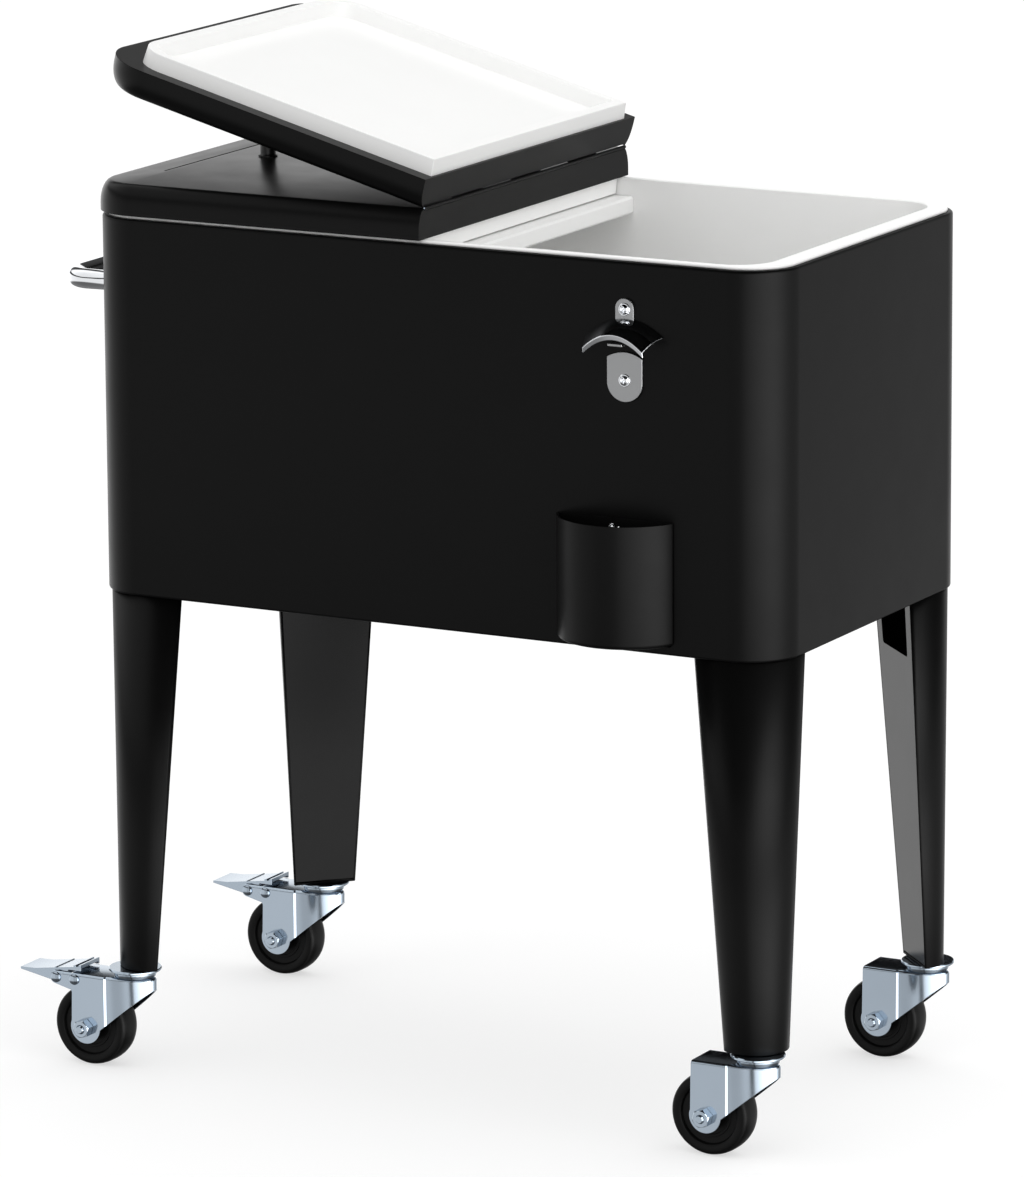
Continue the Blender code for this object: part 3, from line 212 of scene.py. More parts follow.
def worked_out(
    tree: bpy.types.NodeTree, operation: str, *values: bpy.types.NodeSocket | float
) -> bpy.types.NodeSocket:
    """Works out one sum of two values.

    Args:
        tree: The node tree.
        operation: What is done with them.
        values: The two values, each an output or a number.

    Returns:
        The result.
    """
    node = add_node(tree, "ShaderNodeMath", operation=operation)
    for place, value in enumerate(values):
        if isinstance(value, bpy.types.NodeSocket):
            tree.links.new(value, node.inputs[place])
        else:
            node.inputs[place].default_value = value
    return node.outputs[0]


def linear(hex_colour: str) -> tuple[float, float, float, float]:
    """Turns an sRGB hex colour to linear values.

    Args:
        hex_colour: Six hex digits.

    Returns:
        Red, green, blue and an alpha of 1.
    """
    parts = [int(hex_colour[i : i + 2], 16) / 255 for i in (0, 2, 4)]
    red, green, blue = (c / 12.92 if c <= 0.04045 else ((c + 0.055) / 1.055) ** 2.4 for c in parts)
    return red, green, blue, 1.0


# Polyester powder coat, sprayed and baked: near black, with a soft sheen and a faint orange peel.
BODY_ENAMEL = Finish(
    "satin_black_powder_coat", "080808", 0.36, Grain.ORANGE_PEEL, 2.2 * MM, 0.006 * MM, specular=0.11
)
# The same paint on the pressed lids, a little glossier.
LID_ENAMEL = Finish(
    "semi_gloss_black_powder_coat", "080808", 0.30, Grain.ORANGE_PEEL, 2.5 * MM, 0.004 * MM, specular=0.12
)
# Gloss paint on the flat inner plates of the legs, which mirror the floor.
LEG_ENAMEL = Finish(
    "gloss_black_powder_coat", "080808", 0.22, Grain.ORANGE_PEEL, 2.5 * MM, 0.004 * MM, specular=0.10
)
# Moulded polypropylene: clean white, soft highlights and a very fine skin.
LINER_WHITE = Finish("white_polypropylene", "fafaf9", 0.36, Grain.MOULDED, 1.2 * MM, 0.008 * MM, shade=0.01)
# Rigid polyurethane foam, seen only from inside.
FOAM_CORE = Finish("rigid_foam", "e6dcb8", 0.9, Grain.MOULDED, 0.8 * MM, 0.06 * MM)
# Bright zinc plate with a cool blue tint over pressed sheet steel.
ZINC = Finish(
    "bright_zinc_plate", "a8b4c0", 0.15, Grain.PLATED, 3 * MM, 0.004 * MM, metallic=1.0, mottle=0.25
)
# Chrome plate on bent tube and on the opener's hood: mirror bright.
CHROME = Finish("chrome_plate", "e3e5e8", 0.06, Grain.POLISHED, 6 * MM, 0.002 * MM, metallic=1.0, shade=0.01)
# Satin stainless on the opener's back plate: flat grey.
SATIN_STEEL = Finish("satin_stainless", "a4a5a6", 0.38, Grain.BRUSHED, 0.25 * MM, 0.006 * MM, metallic=1.0)
# Hard moulded rubber tread and core of the wheels: deep black, slightly shiny.
WHEEL_RUBBER = Finish(
    "black_wheel_rubber", "090909", 0.38, Grain.MOULDED, 0.9 * MM, 0.008 * MM, specular=0.14
)
# Moulded nylon of knobs and the drain cap.
BLACK_NYLON = Finish("black_nylon", "0c0c0d", 0.4, Grain.MOULDED, 0.7 * MM, 0.012 * MM)
# Grey moulded plastic of the drain socket.
GREY_PLASTIC = Finish("grey_polypropylene", "8d8f92", 0.5, Grain.MOULDED, 1.0 * MM, 0.010 * MM)


class Slot(Enum):
    """The record's material slot names, which the pieces made here do not take."""

    ENAMEL = "black_enamel"
    INNER_ENAMEL = "black_enamel_inside"
    WHITE = "white_plastic"
    ZINC = "zinc"
    CHROME = "chrome"
    STAINLESS = "stainless"
    RUBBER = "black_rubber"
    BLACK = "black_plastic"


class Cut(Enum):
    """How one solid acts on another."""

    AWAY = "DIFFERENCE"
    JOIN = "UNION"
    COMMON = "INTERSECT"


def arc(
    centre: Pair, radius: float, start: float, end: float, steps: int, radius_y: float | None = None
) -> list[Pair]:
    """Points along an arc in a plane.

    Args:
        centre: The arc's centre.
        radius: Its radius, or its first half axis.
        start: First angle in degrees.
        end: Last angle in degrees.
        steps: Number of steps between them.
        radius_y: Second half axis of an ellipse.

    Returns:
        Pairs in the plane.
    """
    second = radius if radius_y is None else radius_y
    angles = [math.radians(start + (end - start) * i / steps) for i in range(steps + 1)]
    return [(centre[0] + radius * math.cos(a), centre[1] + second * math.sin(a)) for a in angles]


def across(points: Iterable[Pair], y: float) -> list[Vector]:
    """Turns pairs in X and Z into points at one Y."""
    return [Vector((x, y, z)) for x, z in points]


def level(points: Iterable[Pair], z: float) -> list[Vector]:
    """Turns pairs in X and Y into points at one height."""
    return [Vector((x, y, z)) for x, y in points]


def block(low: Vector, high: Vector) -> BMesh:
    """A box between two corners."""
    form = bmesh.new()
    size = high - low
    place = Matrix.Translation((low + high) / 2) @ Matrix.Diagonal((size.x, size.y, size.z, 1))
    bmesh.ops.create_cube(form, size=1, matrix=place)
    return form


def bevel(form: BMesh, edges: Sequence[BMEdge], width: float, segments: int) -> None:
    """Rounds edges of a form.

    Args:
        form: The mesh to work on.
        edges: Edges to round.
        width: Distance from each edge at which the round starts.
        segments: Number of facets across the round.
    """
    bmesh.ops.bevel(
        form,
        geom=list(edges),
        offset=width,
        offset_type="OFFSET",
        segments=segments,
        profile=0.5,
        affect="EDGES",
        material=-1,
    )


def uprights(form: BMesh) -> list[BMEdge]:
    """The edges that run straight up."""
    return [e for e in form.edges if (e.verts[0].co - e.verts[1].co).xy.length < NEAR]


def edges_at(form: BMesh, z: float, wanted: Test = lambda middle: True) -> list[BMEdge]:
    """The edges that lie at one height.

    Args:
        form: The mesh to look through.
        z: The height.
        wanted: A test on an edge's middle.

    Returns:
        The edges found.
    """
    found = []
    for edge in form.edges:
        if all(abs(v.co.z - z) < NEAR for v in edge.verts):
            if wanted((edge.verts[0].co + edge.verts[1].co) / 2):
                found.append(edge)
    return found


def rim_edges(form: BMesh, z: float) -> list[BMEdge]:
    """The edges at one height that border an upright face."""
    return [e for e in edges_at(form, z) if any(abs(f.normal.z) < 0.5 for f in e.link_faces)]


def rounded_block(
    low: Vector, high: Vector, corner: float, steps: int, keep: Test = lambda place: True
) -> BMesh:
    """A box whose upright edges are round.

    Args:
        low: Lowest corner.
        high: Highest corner.
        corner: Radius of the upright edges.
        steps: Facets in each.
        keep: A test on an upright's place, for which ones are rounded.

    Returns:
        The mesh.
    """
    form = block(low, high)
    bevel(form, [e for e in uprights(form) if keep(e.verts[0].co)], corner, steps)
    return form


def flat_face(form: BMesh, direction: Vector) -> BMFace:
    """The largest face that looks one way."""
    facing = [f for f in form.faces if f.normal.dot(direction) > 0.99]
    return max(facing, key=lambda f: f.calc_area())


def push(form: BMesh, face: BMFace, step: Vector) -> BMFace:
    """Extrudes a face.

    Args:
        form: The mesh that holds it.
        face: The face.
        step: How far it goes.

    Returns:
        The moved face.
    """
    made = bmesh.ops.extrude_face_region(form, geom=[face, *face.edges, *face.verts])["geom"]
    bmesh.ops.translate(form, verts=[g for g in made if isinstance(g, BMVert)], vec=step)
    return next(g for g in made if isinstance(g, BMFace))


def inset(form: BMesh, face: BMFace, width: float) -> BMFace:
    """Insets a face by an even width and returns the inner one."""
    bmesh.ops.inset_region(form, faces=[face], thickness=width, use_even_offset=True, use_boundary=True)
    return face


def draw_in(face: BMFace, middle: Vector, step_x: float, step_y: float) -> None:
    """Moves each side of a face towards its middle, the round corners whole.

    Args:
        face: The face.
        middle: Its middle.
        step_x: How far the two ends go.
        step_y: How far the two long sides go.
    """
    for vert in face.verts:
        vert.co.x -= math.copysign(step_x, vert.co.x - middle.x)
        vert.co.y -= math.copysign(step_y, vert.co.y - middle.y)


def plate(outline: Sequence[Vector], thickness: Vector) -> BMesh:
    """A plate with a given outline.

    Args:
        outline: Points of one flat face in order.
        thickness: The step from that face to the other.

    Returns:
        The closed mesh.
    """
    form = bmesh.new()
    face = form.faces.new([form.verts.new(p) for p in outline])
    push(form, face, thickness)
    bmesh.ops.recalc_face_normals(form, faces=form.faces)
    return form


def turned(profile: Sequence[Pair], axis: Vector, centre: Vector, steps: int, ring: bool = False) -> BMesh:
    """A solid turned on a lathe.

    Args:
        profile: Pairs of radius and distance along the axis.
        axis: Direction of the axis.
        centre: Where the distances start.
        steps: Facets round the axis.
        ring: True where the profile closes on itself, away from the axis.

    Returns:
        The closed mesh.
    """
    form = bmesh.new()
    out = axis.orthogonal().normalized()
    verts = [form.verts.new(centre + axis * along + out * radius) for radius, along in profile]
    pairs = list(zip(verts[:-1], verts[1:])) + ([(verts[-1], verts[0])] if ring else [])
    edges = [form.edges.new(pair) for pair in pairs]
    geom = verts + edges
    bmesh.ops.spin(form, geom=geom, cent=centre, axis=axis, angle=math.tau, steps=steps, use_merge=True)
    bmesh.ops.remove_doubles(form, verts=form.verts, dist=NEAR / 10)
    bmesh.ops.recalc_face_normals(form, faces=form.faces)
    return form


def bore(radius: float, start: float, end: float) -> list[Pair]:
    """The profile of a straight bore from one distance along its axis to another."""
    return [(0.0, start), (radius, start), (radius, end), (0.0, end)]


def hexagon(width: float) -> list[Pair]:
    """The corners of a hexagon with a given width across its flats."""
    return arc((0.0, 0.0), width / math.sqrt(3), 30, 330, 5)


def as_object(form: BMesh, name: str) -> bpy.types.Object:
    """Turns a form into an object at the origin."""
    mesh = bpy.data.meshes.new(name)
    form.to_mesh(mesh)
    form.free()
    obj = bpy.data.objects.new(name, mesh)
    bpy.context.scene.collection.objects.link(obj)
    return obj


def worked(form: BMesh, *others: BMesh, how: Cut = Cut.AWAY) -> BMesh:
    """Cuts, joins or keeps what a form has in common with others.

    Args:
        form: The solid that is worked.
        others: The solids that work on it, one after another.
        how: What they do.

    Returns:
        The new mesh.
    """
    base = as_object(form, "work_piece")
    tools = [as_object(other, "work_tool") for other in others]
    for tool in tools:
        step = base.modifiers.new("work", "BOOLEAN")
        step.operation, step.solver, step.object = how.value, "EXACT", tool
    graph = bpy.context.evaluated_depsgraph_get()
    mesh = bpy.data.meshes.new_from_object(base.evaluated_get(graph))
    result = bmesh.new()
    result.from_mesh(mesh)
    bpy.data.meshes.remove(mesh)
    for obj in [base, *tools]:
        bpy.data.objects.remove(obj)
    bmesh.ops.dissolve_limit(result, angle_limit=math.radians(0.2), verts=result.verts, edges=result.edges)
    return result


def together(*forms: BMesh) -> BMesh:
    """Puts several separate meshes into one."""
    first = forms[0]
    for form in forms[1:]:
        mesh = bpy.data.meshes.new("joined")
        form.to_mesh(mesh)
        form.free()
        first.from_mesh(mesh)
        bpy.data.meshes.remove(mesh)
    return first


def moved(form: BMesh, place: Matrix) -> BMesh:
    """Puts a form in its place and turns its faces out again where the move mirrors it."""
    bmesh.ops.transform(form, matrix=place, verts=form.verts)
    if place.determinant() < 0:
        bmesh.ops.reverse_faces(form, faces=form.faces)
    form.normal_update()
    return form


def stand(
    name: str,
    form: BMesh,
    finish: Finish,
    body: str,
    replaces: Sequence[str] = (),
    wall: float = 0.0,
    edge: float = 0.0,
    sharp: float = 32.0,
    even: bool = True,
) -> bpy.types.Object:
    """Finishes a piece: its object, wall, softened edges, shading, material and what it rides on.

    Args:
        name: The piece's name.
        form: Its mesh, in place.
        finish: Its surface.
        body: The CAD body that it moves with.
        replaces: The CAD nodes that it stands for.
        wall: Thickness given to an open skin, inwards, or 0 for a solid.
        edge: Width of the softened edges, or 0 for none.
        sharp: The angle in degrees past which an edge is softened or stays sharp.
        even: Whether the wall keeps its thickness round sharp bends.

    Returns:
        The finished object.
    """
    obj = as_object(form, name)
    obj.data.shade_smooth()
    obj.data.materials.append(finish.material())
    if wall:
        skin = obj.modifiers.new("wall", "SOLIDIFY")
        skin.thickness, skin.offset, skin.use_even_offset = wall, -1.0, even
    if edge:
        round_over = obj.modifiers.new("edges", "BEVEL")
        round_over.width, round_over.segments, round_over.limit_method = edge, 3, "ANGLE"
        round_over.angle_limit, round_over.harden_normals = math.radians(sharp), True
        round_over.use_clamp_overlap = True
    else:
        obj.data.set_sharp_from_angle(angle=math.radians(sharp))
    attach(obj, body)
    if replaces:
        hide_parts(*replaces)
    LOG.info("%s: %d faces", name, len(obj.data.polygons))
    return obj


@dataclass(frozen=True)
class CasterPlace:
    """Where one caster stands, with its turning points from the record."""

    name: str
    swivel: Vector
    axle: Vector
    pedal: Vector | None


@dataclass(frozen=True)
class Layout:
    """The places that the sub-assemblies share, read from the frame."""

    body_low: Vector
    body_high: Vector
    lid_low: Vector
    lid_high: Vector
    seam: Vector
    fold: float
    casters: tuple[CasterPlace, ...]

    @property
    def middle(self) -> Vector:
        """The middle of the body in plan, at the floor."""
        middle = (self.body_low + self.body_high) / 2
        return Vector((middle.x, middle.y, 0))


def read_layout(frame: dict) -> Layout:
    """Reads the shared places from the loaded frame.


    Returns:
        The layout.
    """
    joints = {joint["name"]: joint for joint in frame["joints"]}

    def turning_point(name: str) -> Vector | None:
        """Where a joint turns, if there is such a joint."""
        return Vector(joints[name]["pos_m"]) if name in joints else None

    casters = []
    for corner in ("front_left", "front_right", "rear_right", "rear_left"):
        places = [turning_point(f"{corner}_{joint}") for joint in ("swivel", "roll", "brake")]
        casters.append(CasterPlace(corner, *places))
    body_low, body_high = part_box("outer_shell")
    lid_low, lid_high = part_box("left_lid_shell")
    seam = turning_point("left_lid_hinge")
    fold = math.radians(joints["right_lid_hinge"]["range_deg"][1])
    return Layout(body_low, body_high, lid_low, lid_high, seam, fold, tuple(casters))


@dataclass
class Body:
    """The enamelled shell, the white tub in it and what is hidden between them."""

    layout: Layout
    corner: float = 47.4 * MM
    corner_steps: int = 24
    sheet: float = 1.2 * MM
    rim_bend: float = 2.5 * MM
    rim_fold: float = 8.5 * MM
    lower_lip: float = 16 * MM
    flange_inset: float = 4.8 * MM
    flange_rise: float = 3.1 * MM
    mouth_inset: float = 12.5 * MM
    mouth_end_extra: float = 11.5 * MM
    mouth_round: float = 3 * MM
    tub_wall: float = 2.4 * MM
    tub_draft: float = 6 * MM
    floor_round: float = 14 * MM
    socket_rise: float = 2.3 * MM

    def build(self) -> None:
        """Makes every piece of the body."""
        self.shell()
        self.tub()
        self.hidden_pieces()

    def shell(self) -> None:
        """Sheet wall, folded in at the top and lipped at the bottom."""
        low, high = self.layout.body_low, self.layout.body_high
        form = rounded_block(low, high, self.corner, self.corner_steps)
        for direction, width, z in ((UP, self.rim_fold, high.z), (-UP, self.lower_lip, low.z)):
            face = inset(form, flat_face(form, direction), width)
            bmesh.ops.delete(form, geom=[face], context="FACES_ONLY")
            bevel(form, rim_edges(form, z), self.rim_bend, 5)
        stand("body_shell", form, BODY_ENAMEL, "cooler", ["outer_shell"], wall=self.sheet)

    def tub(self) -> None:
        """Moulded tub: flange over the shell's fold, round mouth, drafted walls and round floor edge."""
        low, high = self.layout.body_low, self.layout.body_high
        middle = self.layout.middle
        inward = Vector((self.flange_inset, self.flange_inset, 0))
        top = high.z + self.flange_rise
        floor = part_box("drain_socket")[1].z - self.socket_rise
        start = Vector((low.x, low.y, high.z + GAP)) + inward
        end = Vector((high.x, high.y, top)) - inward
        form = rounded_block(start, end, self.corner - self.flange_inset, self.corner_steps)
        bmesh.ops.delete(form, geom=[flat_face(form, -UP)], context="FACES_ONLY")
        mouth = inset(form, flat_face(form, UP), self.mouth_inset - self.flange_inset)
        draw_in(mouth, middle, self.mouth_end_extra, 0.0)
        base = push(form, mouth, Vector((0, 0, floor - top)))
        draw_in(base, middle, self.tub_draft, self.tub_draft)
        bevel(form, base.edges, self.floor_round, 8)
        bevel(form, rim_edges(form, top), self.mouth_round / 2, 6)
        node, wall = "tub_liner", self.tub_wall
        stand(f"{node}_skin", form, LINER_WHITE, "cooler", [node], wall=wall, even=False)

    def hidden_pieces(self) -> None:
        """Gives the CAD nodes that stay their finishes."""
        finishes = {
            "base_pan": BODY_ENAMEL,
            "foam_core": FOAM_CORE,
            "centre_bar": LINER_WHITE,
            "drain_socket": GREY_PLASTIC,
            "drain_cap": BLACK_NYLON,
        }
        for node, finish in finishes.items():
            dress(node, finish)


def dress(node: str, finish: Finish) -> None:
    """Puts a finish on a CAD node that stays.

    Args:
        node: The node's name.
        finish: Its surface.
    """
    mesh = bpy.data.objects[node].data
    mesh.materials.clear()
    mesh.materials.append(finish.material())


@dataclass
class Lids:
    """Two pressed half lids with their plugs and knobs. The right one lies folded open on the left."""

    layout: Layout
    corner: float = 48.9 * MM
    corner_steps: int = 24
    seam_half: float = 0.8 * MM
    skirt: float = 6.5 * MM
    crown: float = 10.5 * MM
    crown_steps: int = 8
    sheet: float = 1.2 * MM
    rim_side: float = 15.5 * MM
    rim_end: float = 27.2 * MM
    rim_hinge: float = 2.8 * MM
    plug_corner: float = 31 * MM
    plug_depth: float = 15 * MM
    plug_root: float = 4 * MM
    plug_draft: float = 1.4 * MM
    ridge: float = 9.5 * MM
    recess: float = 13.8 * MM
    groove_from_end: float = 37.5 * MM
    groove_length: float = 224 * MM
    groove_width: float = 1.8 * MM
    groove_depth: float = 0.6 * MM
    slot_from_side: float = 8 * MM
    slot_reach: float = 3.4 * MM
    slot_drop: float = 2.2 * MM
    knob_from_hinge: float = 266 * MM
    knob_radius: float = 7 * MM
    knob_flare: float = 1.8 * MM
    knob_dome: float = 1.2 * MM

    def build(self) -> None:
        """Makes both lids."""
        for side in ("left", "right"):
            place = Matrix.Identity(4) if side == "left" else self.folded_open()
            self.shell(side, place)
            self.plug(side, place)
            self.knob(side, place)
            dress(f"{side}_lid_foam", FOAM_CORE)
            dress(f"{side}_hinge_leaf", LID_ENAMEL)
        dress("hinge_pin", ZINC)

    def folded_open(self) -> Matrix:
        """The move from the closed left lid to the right lid as it lies open."""
        middle, seam = self.layout.middle, self.layout.seam
        half_turn, swing = Matrix.Rotation(math.pi, 4, "Z"), Matrix.Rotation(-self.layout.fold, 4, "Y")
        about_middle = Matrix.Translation(middle) @ half_turn @ Matrix.Translation(-middle)
        return Matrix.Translation(seam) @ swing @ Matrix.Translation(-seam) @ about_middle

    def shell(self, side: str, place: Matrix) -> None:
        """Pressed lid with a crowned edge, a groove near its outer end and a recess along the seam."""
        low, high = self.layout.lid_low, self.layout.lid_high
        end = Vector((self.layout.seam.x - self.seam_half, high.y, low.z + self.skirt + self.crown))

        def outer(spot: Vector) -> bool:
            """Whether a spot lies away from the seam."""
            return spot.x < end.x - NEAR

        form = rounded_block(low, end, self.corner, self.corner_steps, outer)
        bevel(form, edges_at(form, end.z, outer), self.crown, self.crown_steps)
        rise = (high.z - low.z - self.skirt) / self.crown
        for vert in form.verts:
            if vert.co.z > low.z + self.skirt:
                vert.co.z = low.z + self.skirt + (vert.co.z - low.z - self.skirt) * rise
        form = worked(form, self.groove_tool(), self.seam_tool(), self.plug_form(GAP, self.sheet))
        body = f"{side}_lid"
        nodes = [f"{body}_shell"]
        stand(f"{body}_skin", moved(form, place), LID_ENAMEL, body, nodes, edge=0.4 * MM)

    def groove_tool(self) -> BMesh:
        """The cutter of the thin line near the lid's outer end."""
        x = self.layout.lid_low.x + self.groove_from_end
        y, z = self.layout.middle.y, self.layout.lid_high.z
        reach, radius = self.groove_length / 2, self.groove_width / 2
        outline = arc((x, y + reach), radius, 0, 180, 8) + arc((x, y - reach), radius, 180, 360, 8)
        return plate(level(outline, z - self.groove_depth), UP * PAST)

    def seam_tool(self) -> BMesh:
        """The cutter of the recess that the hinge lies in."""
        low, high, seam = self.layout.lid_low, self.layout.lid_high, self.layout.seam
        near, far = low.y + self.slot_from_side, high.y - self.slot_from_side
        start = Vector((seam.x - self.seam_half - self.slot_reach, near, seam.z - self.slot_drop))
        return block(start, Vector((seam.x + PAST, far, seam.z + PAST)))

    def plug_form(self, grow: float, root: float) -> BMesh:
        """The plug's block, or the hole for it where it is grown."""
        low, high = self.layout.lid_low, self.layout.lid_high
        near, far = low.y + self.rim_side, high.y - self.rim_side
        inner_end = self.layout.seam.x - self.seam_half - self.rim_hinge
        start = Vector((low.x + self.rim_end, near, low.z - self.plug_depth))
        end = Vector((inner_end, far, low.z + root))
        growth = Vector((grow, grow, 0))
        start, end = start - growth, end + growth
        return rounded_block(start, end, self.plug_corner + grow, 16, lambda p: p.x < end.x - NEAR)

    def plug(self, side: str, place: Matrix) -> None:
        """White liner of a lid: a raised border round a sunk panel."""
        form = self.plug_form(0.0, self.plug_root)
        face = flat_face(form, -UP)
        middle = Vector(face.calc_center_bounds())
        draw_in(face, middle, self.plug_draft, self.plug_draft)
        panel = inset(form, face, self.ridge)
        panel = push(form, panel, UP * self.recess)
        draw_in(panel, middle, self.plug_draft, self.plug_draft)
        body = f"{side}_lid"
        nodes = [f"{body}_plug"]
        stand(f"{body}_liner", moved(form, place), LINER_WHITE, body, nodes, edge=0.9 * MM)

    def knob(self, side: str, place: Matrix) -> None:
        """Round nylon knob, which also props the other lid."""
        low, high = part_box("left_lid_knob")
        centre = Vector((self.layout.seam.x - self.knob_from_hinge, self.layout.middle.y, low.z))
        height = high.z - low.z
        r, flare, dome = self.knob_radius, self.knob_flare, self.knob_dome
        profile = [(0, 0), (r + flare, 0), (r + flare, flare / 2)]
        for a in (0.5, 1.0, math.pi / 2):
            profile.append((r + flare * (1 - math.sin(a)), flare / 2 + flare * (1 - math.cos(a))))
        for c, s in ((1, 0), (0.87, 0.5), (0.5, 0.87), (0, 1)):
            profile.append((r - dome * (1 - c), height - dome + dome * s))
        profile.append((0, height))
        form = moved(turned(profile, UP, centre, 48), place)
        node = f"{side}_lid_knob"
        stand(f"{node}_skin", form, BLACK_NYLON, f"{side}_lid", [node])


@dataclass
class Legs:
    """Four half-round tapered legs, each closed by a flat inner plate and bolted under the body."""

    layout: Layout
    top_radius: float = 49.1 * MM
    top_inset: float = 1.5 * MM
    top_chord: float = -1.8 * MM
    foot_radius: float = 30.1 * MM
    foot_inset: float = 7.4 * MM
    foot_chord: float = 3.7 * MM
    foot_z: float = 96 * MM
    sheet: float = 1.6 * MM
    foot_plate: float = 3 * MM
    flange: float = 2.5 * MM
    arc_steps: int = 36
    window_share: float = 0.74
    window_drop: float = 9 * MM
    window_height: float = 50 * MM
    window_round: float = 3 * MM
    bolt_side_share: float = 0.42
    bolt_out_share: float = 0.40
    bolt_width: float = 10 * MM
    bolt_head: float = 4 * MM

    def build(self) -> None:
        """Makes each leg from the one at +X +Y."""
        for corner in self.layout.casters:
            away = corner.swivel - self.layout.middle
            mirror = Matrix.Diagonal((math.copysign(1, away.x), math.copysign(1, away.y), 1, 1))
            middle = self.layout.middle
            place = Matrix.Translation(middle) @ mirror @ Matrix.Translation(-middle)
            self.shell(corner.name, place)
            self.brace(corner.name, place)
            self.bolts(corner.name, place)

    def section(self, z: float, inward: float = 0.0, lift: float = 0.0) -> list[Pair]:
        """The leg's arc at a height.

        Args:
            z: The height.
            inward: How far the arc lies inside the outer face.
            lift: How far past the chord its ends lie.

        Returns:
            Pairs in X and Y.
        """
        top = self.layout.body_low.z
        share = (z - self.foot_z) / (top - self.foot_z)
        radius = self.foot_radius + share * (self.top_radius - self.foot_radius)
        corner = self.foot_inset + share * (self.top_inset - self.foot_inset) + radius
        centre = (self.layout.body_high.x - corner, self.layout.body_high.y - corner)
        r = radius - inward
        chord = self.foot_chord + share * (self.top_chord - self.foot_chord)
        half = math.degrees(math.acos((chord + lift) / r))
        return arc(centre, r, 45 - half, 45 + half, self.arc_steps)

    def shell(self, name: str, place: Matrix) -> None:
        """Bent sheet with its foot plate."""
        top = self.layout.body_low.z - GAP
        form = bmesh.new()
        foot = [form.verts.new(p) for p in level(self.section(self.foot_z), self.foot_z)]
        edges = [form.edges.new(pair) for pair in zip(foot[:-1], foot[1:])]
        made = bmesh.ops.extrude_edge_only(form, edges=edges)["geom"]
        goals = {tuple(v.co): goal for v, goal in zip(foot, level(self.section(top), top))}
        for vert in made:
            if isinstance(vert, BMVert):
                vert.co = goals[tuple(vert.co)]
        form.faces.new(foot)
        bmesh.ops.recalc_face_normals(form, faces=form.faces)
        outward = Vector((1, 1, 0)).normalized()
        wall = max(form.faces, key=lambda f: f.normal.dot(outward))
        if wall.normal.dot(outward) < 0.5:
            bmesh.ops.reverse_faces(form, faces=form.faces)
        base = min(form.faces, key=lambda f: f.calc_center_median().z)
        bevel(form, [e for e in base.edges if len(e.link_faces) == 2], 0.8 * MM, 3)
        nodes = [f"{name}_leg_shell"]
        stand(f"{name}_leg", moved(form, place), BODY_ENAMEL, "cooler", nodes, wall=self.sheet)

    def brace(self, name: str, place: Matrix) -> None:
        """Flat inner plate with its window, and the flange that the bolts hold."""
        top = self.layout.body_low.z - GAP
        low = self.foot_z + self.foot_plate + GAP
        inward = self.sheet + GAP
        across_leg = Vector((1, 1, 0)).normalized()
        foot, head = self.section(low, inward), self.section(top, inward)
        outline = level([foot[0]], low) + level([head[0], head[-1]], top) + level([foot[-1]], low)
        form = plate(outline, across_leg * self.sheet)
        flange = plate(level(head, top), -UP * self.flange)
        form = worked(form, flange, how=Cut.JOIN)
        form = moved(worked(form, self.window_tool(top, inward, across_leg)), place)
        nodes = [f"{name}_leg_brace"]
        stand(f"{name}_leg_inner_plate", form, LEG_ENAMEL, "cooler", nodes, edge=0.4 * MM)

    def window_tool(self, top: float, inward: float, across_leg: Vector) -> BMesh:
        """The cutter of the window below the body, with small round corners."""
        corners = []
        for z in (top - self.window_drop - self.window_height, top - self.window_drop):
            row = self.section(z, inward)
            first, last = Vector((*row[0], z)), Vector((*row[-1], z))
            middle, half = (first + last) / 2, (last - first) / 2 * self.window_share
            corners.append((middle - half, middle + half))
        (a, b), (c, d) = corners
        back = -across_leg * PAST
        form = plate([a + back, b + back, d + back, c + back], across_leg * (2 * PAST + MM))

        def along(edge: BMEdge) -> bool:
            """Whether an edge runs through the plate."""
            run = (edge.verts[0].co - edge.verts[1].co).normalized()
            return abs(run.dot(across_leg)) > 0.99

        bevel(form, [e for e in form.edges if along(e)], self.window_round, 5)
        return form

    def bolts(self, name: str, place: Matrix) -> None:
        """Two hex bolts up through the leg's flange."""
        top = self.layout.body_low.z - GAP - self.flange
        corner = self.top_inset + self.top_radius
        centre = (self.layout.body_high.x - corner, self.layout.body_high.y - corner)
        out, side = self.bolt_out_share * self.top_radius, self.bolt_side_share * self.top_radius
        forms = []
        for turn in (-1, 1):
            x = centre[0] + (out + turn * side) * math.sqrt(0.5)
            y = centre[1] + (out - turn * side) * math.sqrt(0.5)
            forms.append(bolt_head(Vector((x, y, top)), -UP, self.bolt_width, self.bolt_head))
        stand(f"{name}_leg_bolts", moved(together(*forms), place), ZINC, "cooler", edge=0.2 * MM)


def bolt_head(seat: Vector, out: Vector, width: float, height: float) -> BMesh:
    """A hexagon head with a washer face, its corners chamfered.

    Args:
        seat: The middle of the face that it lies on.
        out: The way that it stands out.
        width: Width across the flats.
        height: Its height.

    Returns:
        The closed mesh.
    """
    side = out.orthogonal().normalized()
    other = out.cross(side)
    start = seat + out * 0.1 * MM
    outline = [start + side * x + other * y for x, y in hexagon(width)]
    form = plate(outline, out * height)
    rim, flat = width / math.sqrt(3) * 1.02, width / 2 * 0.96
    lens = [(0, -MM), (rim, -MM), (rim, height * 0.8), (flat, height), (0, height)]
    return worked(form, turned(lens, out, start, 48), how=Cut.COMMON)


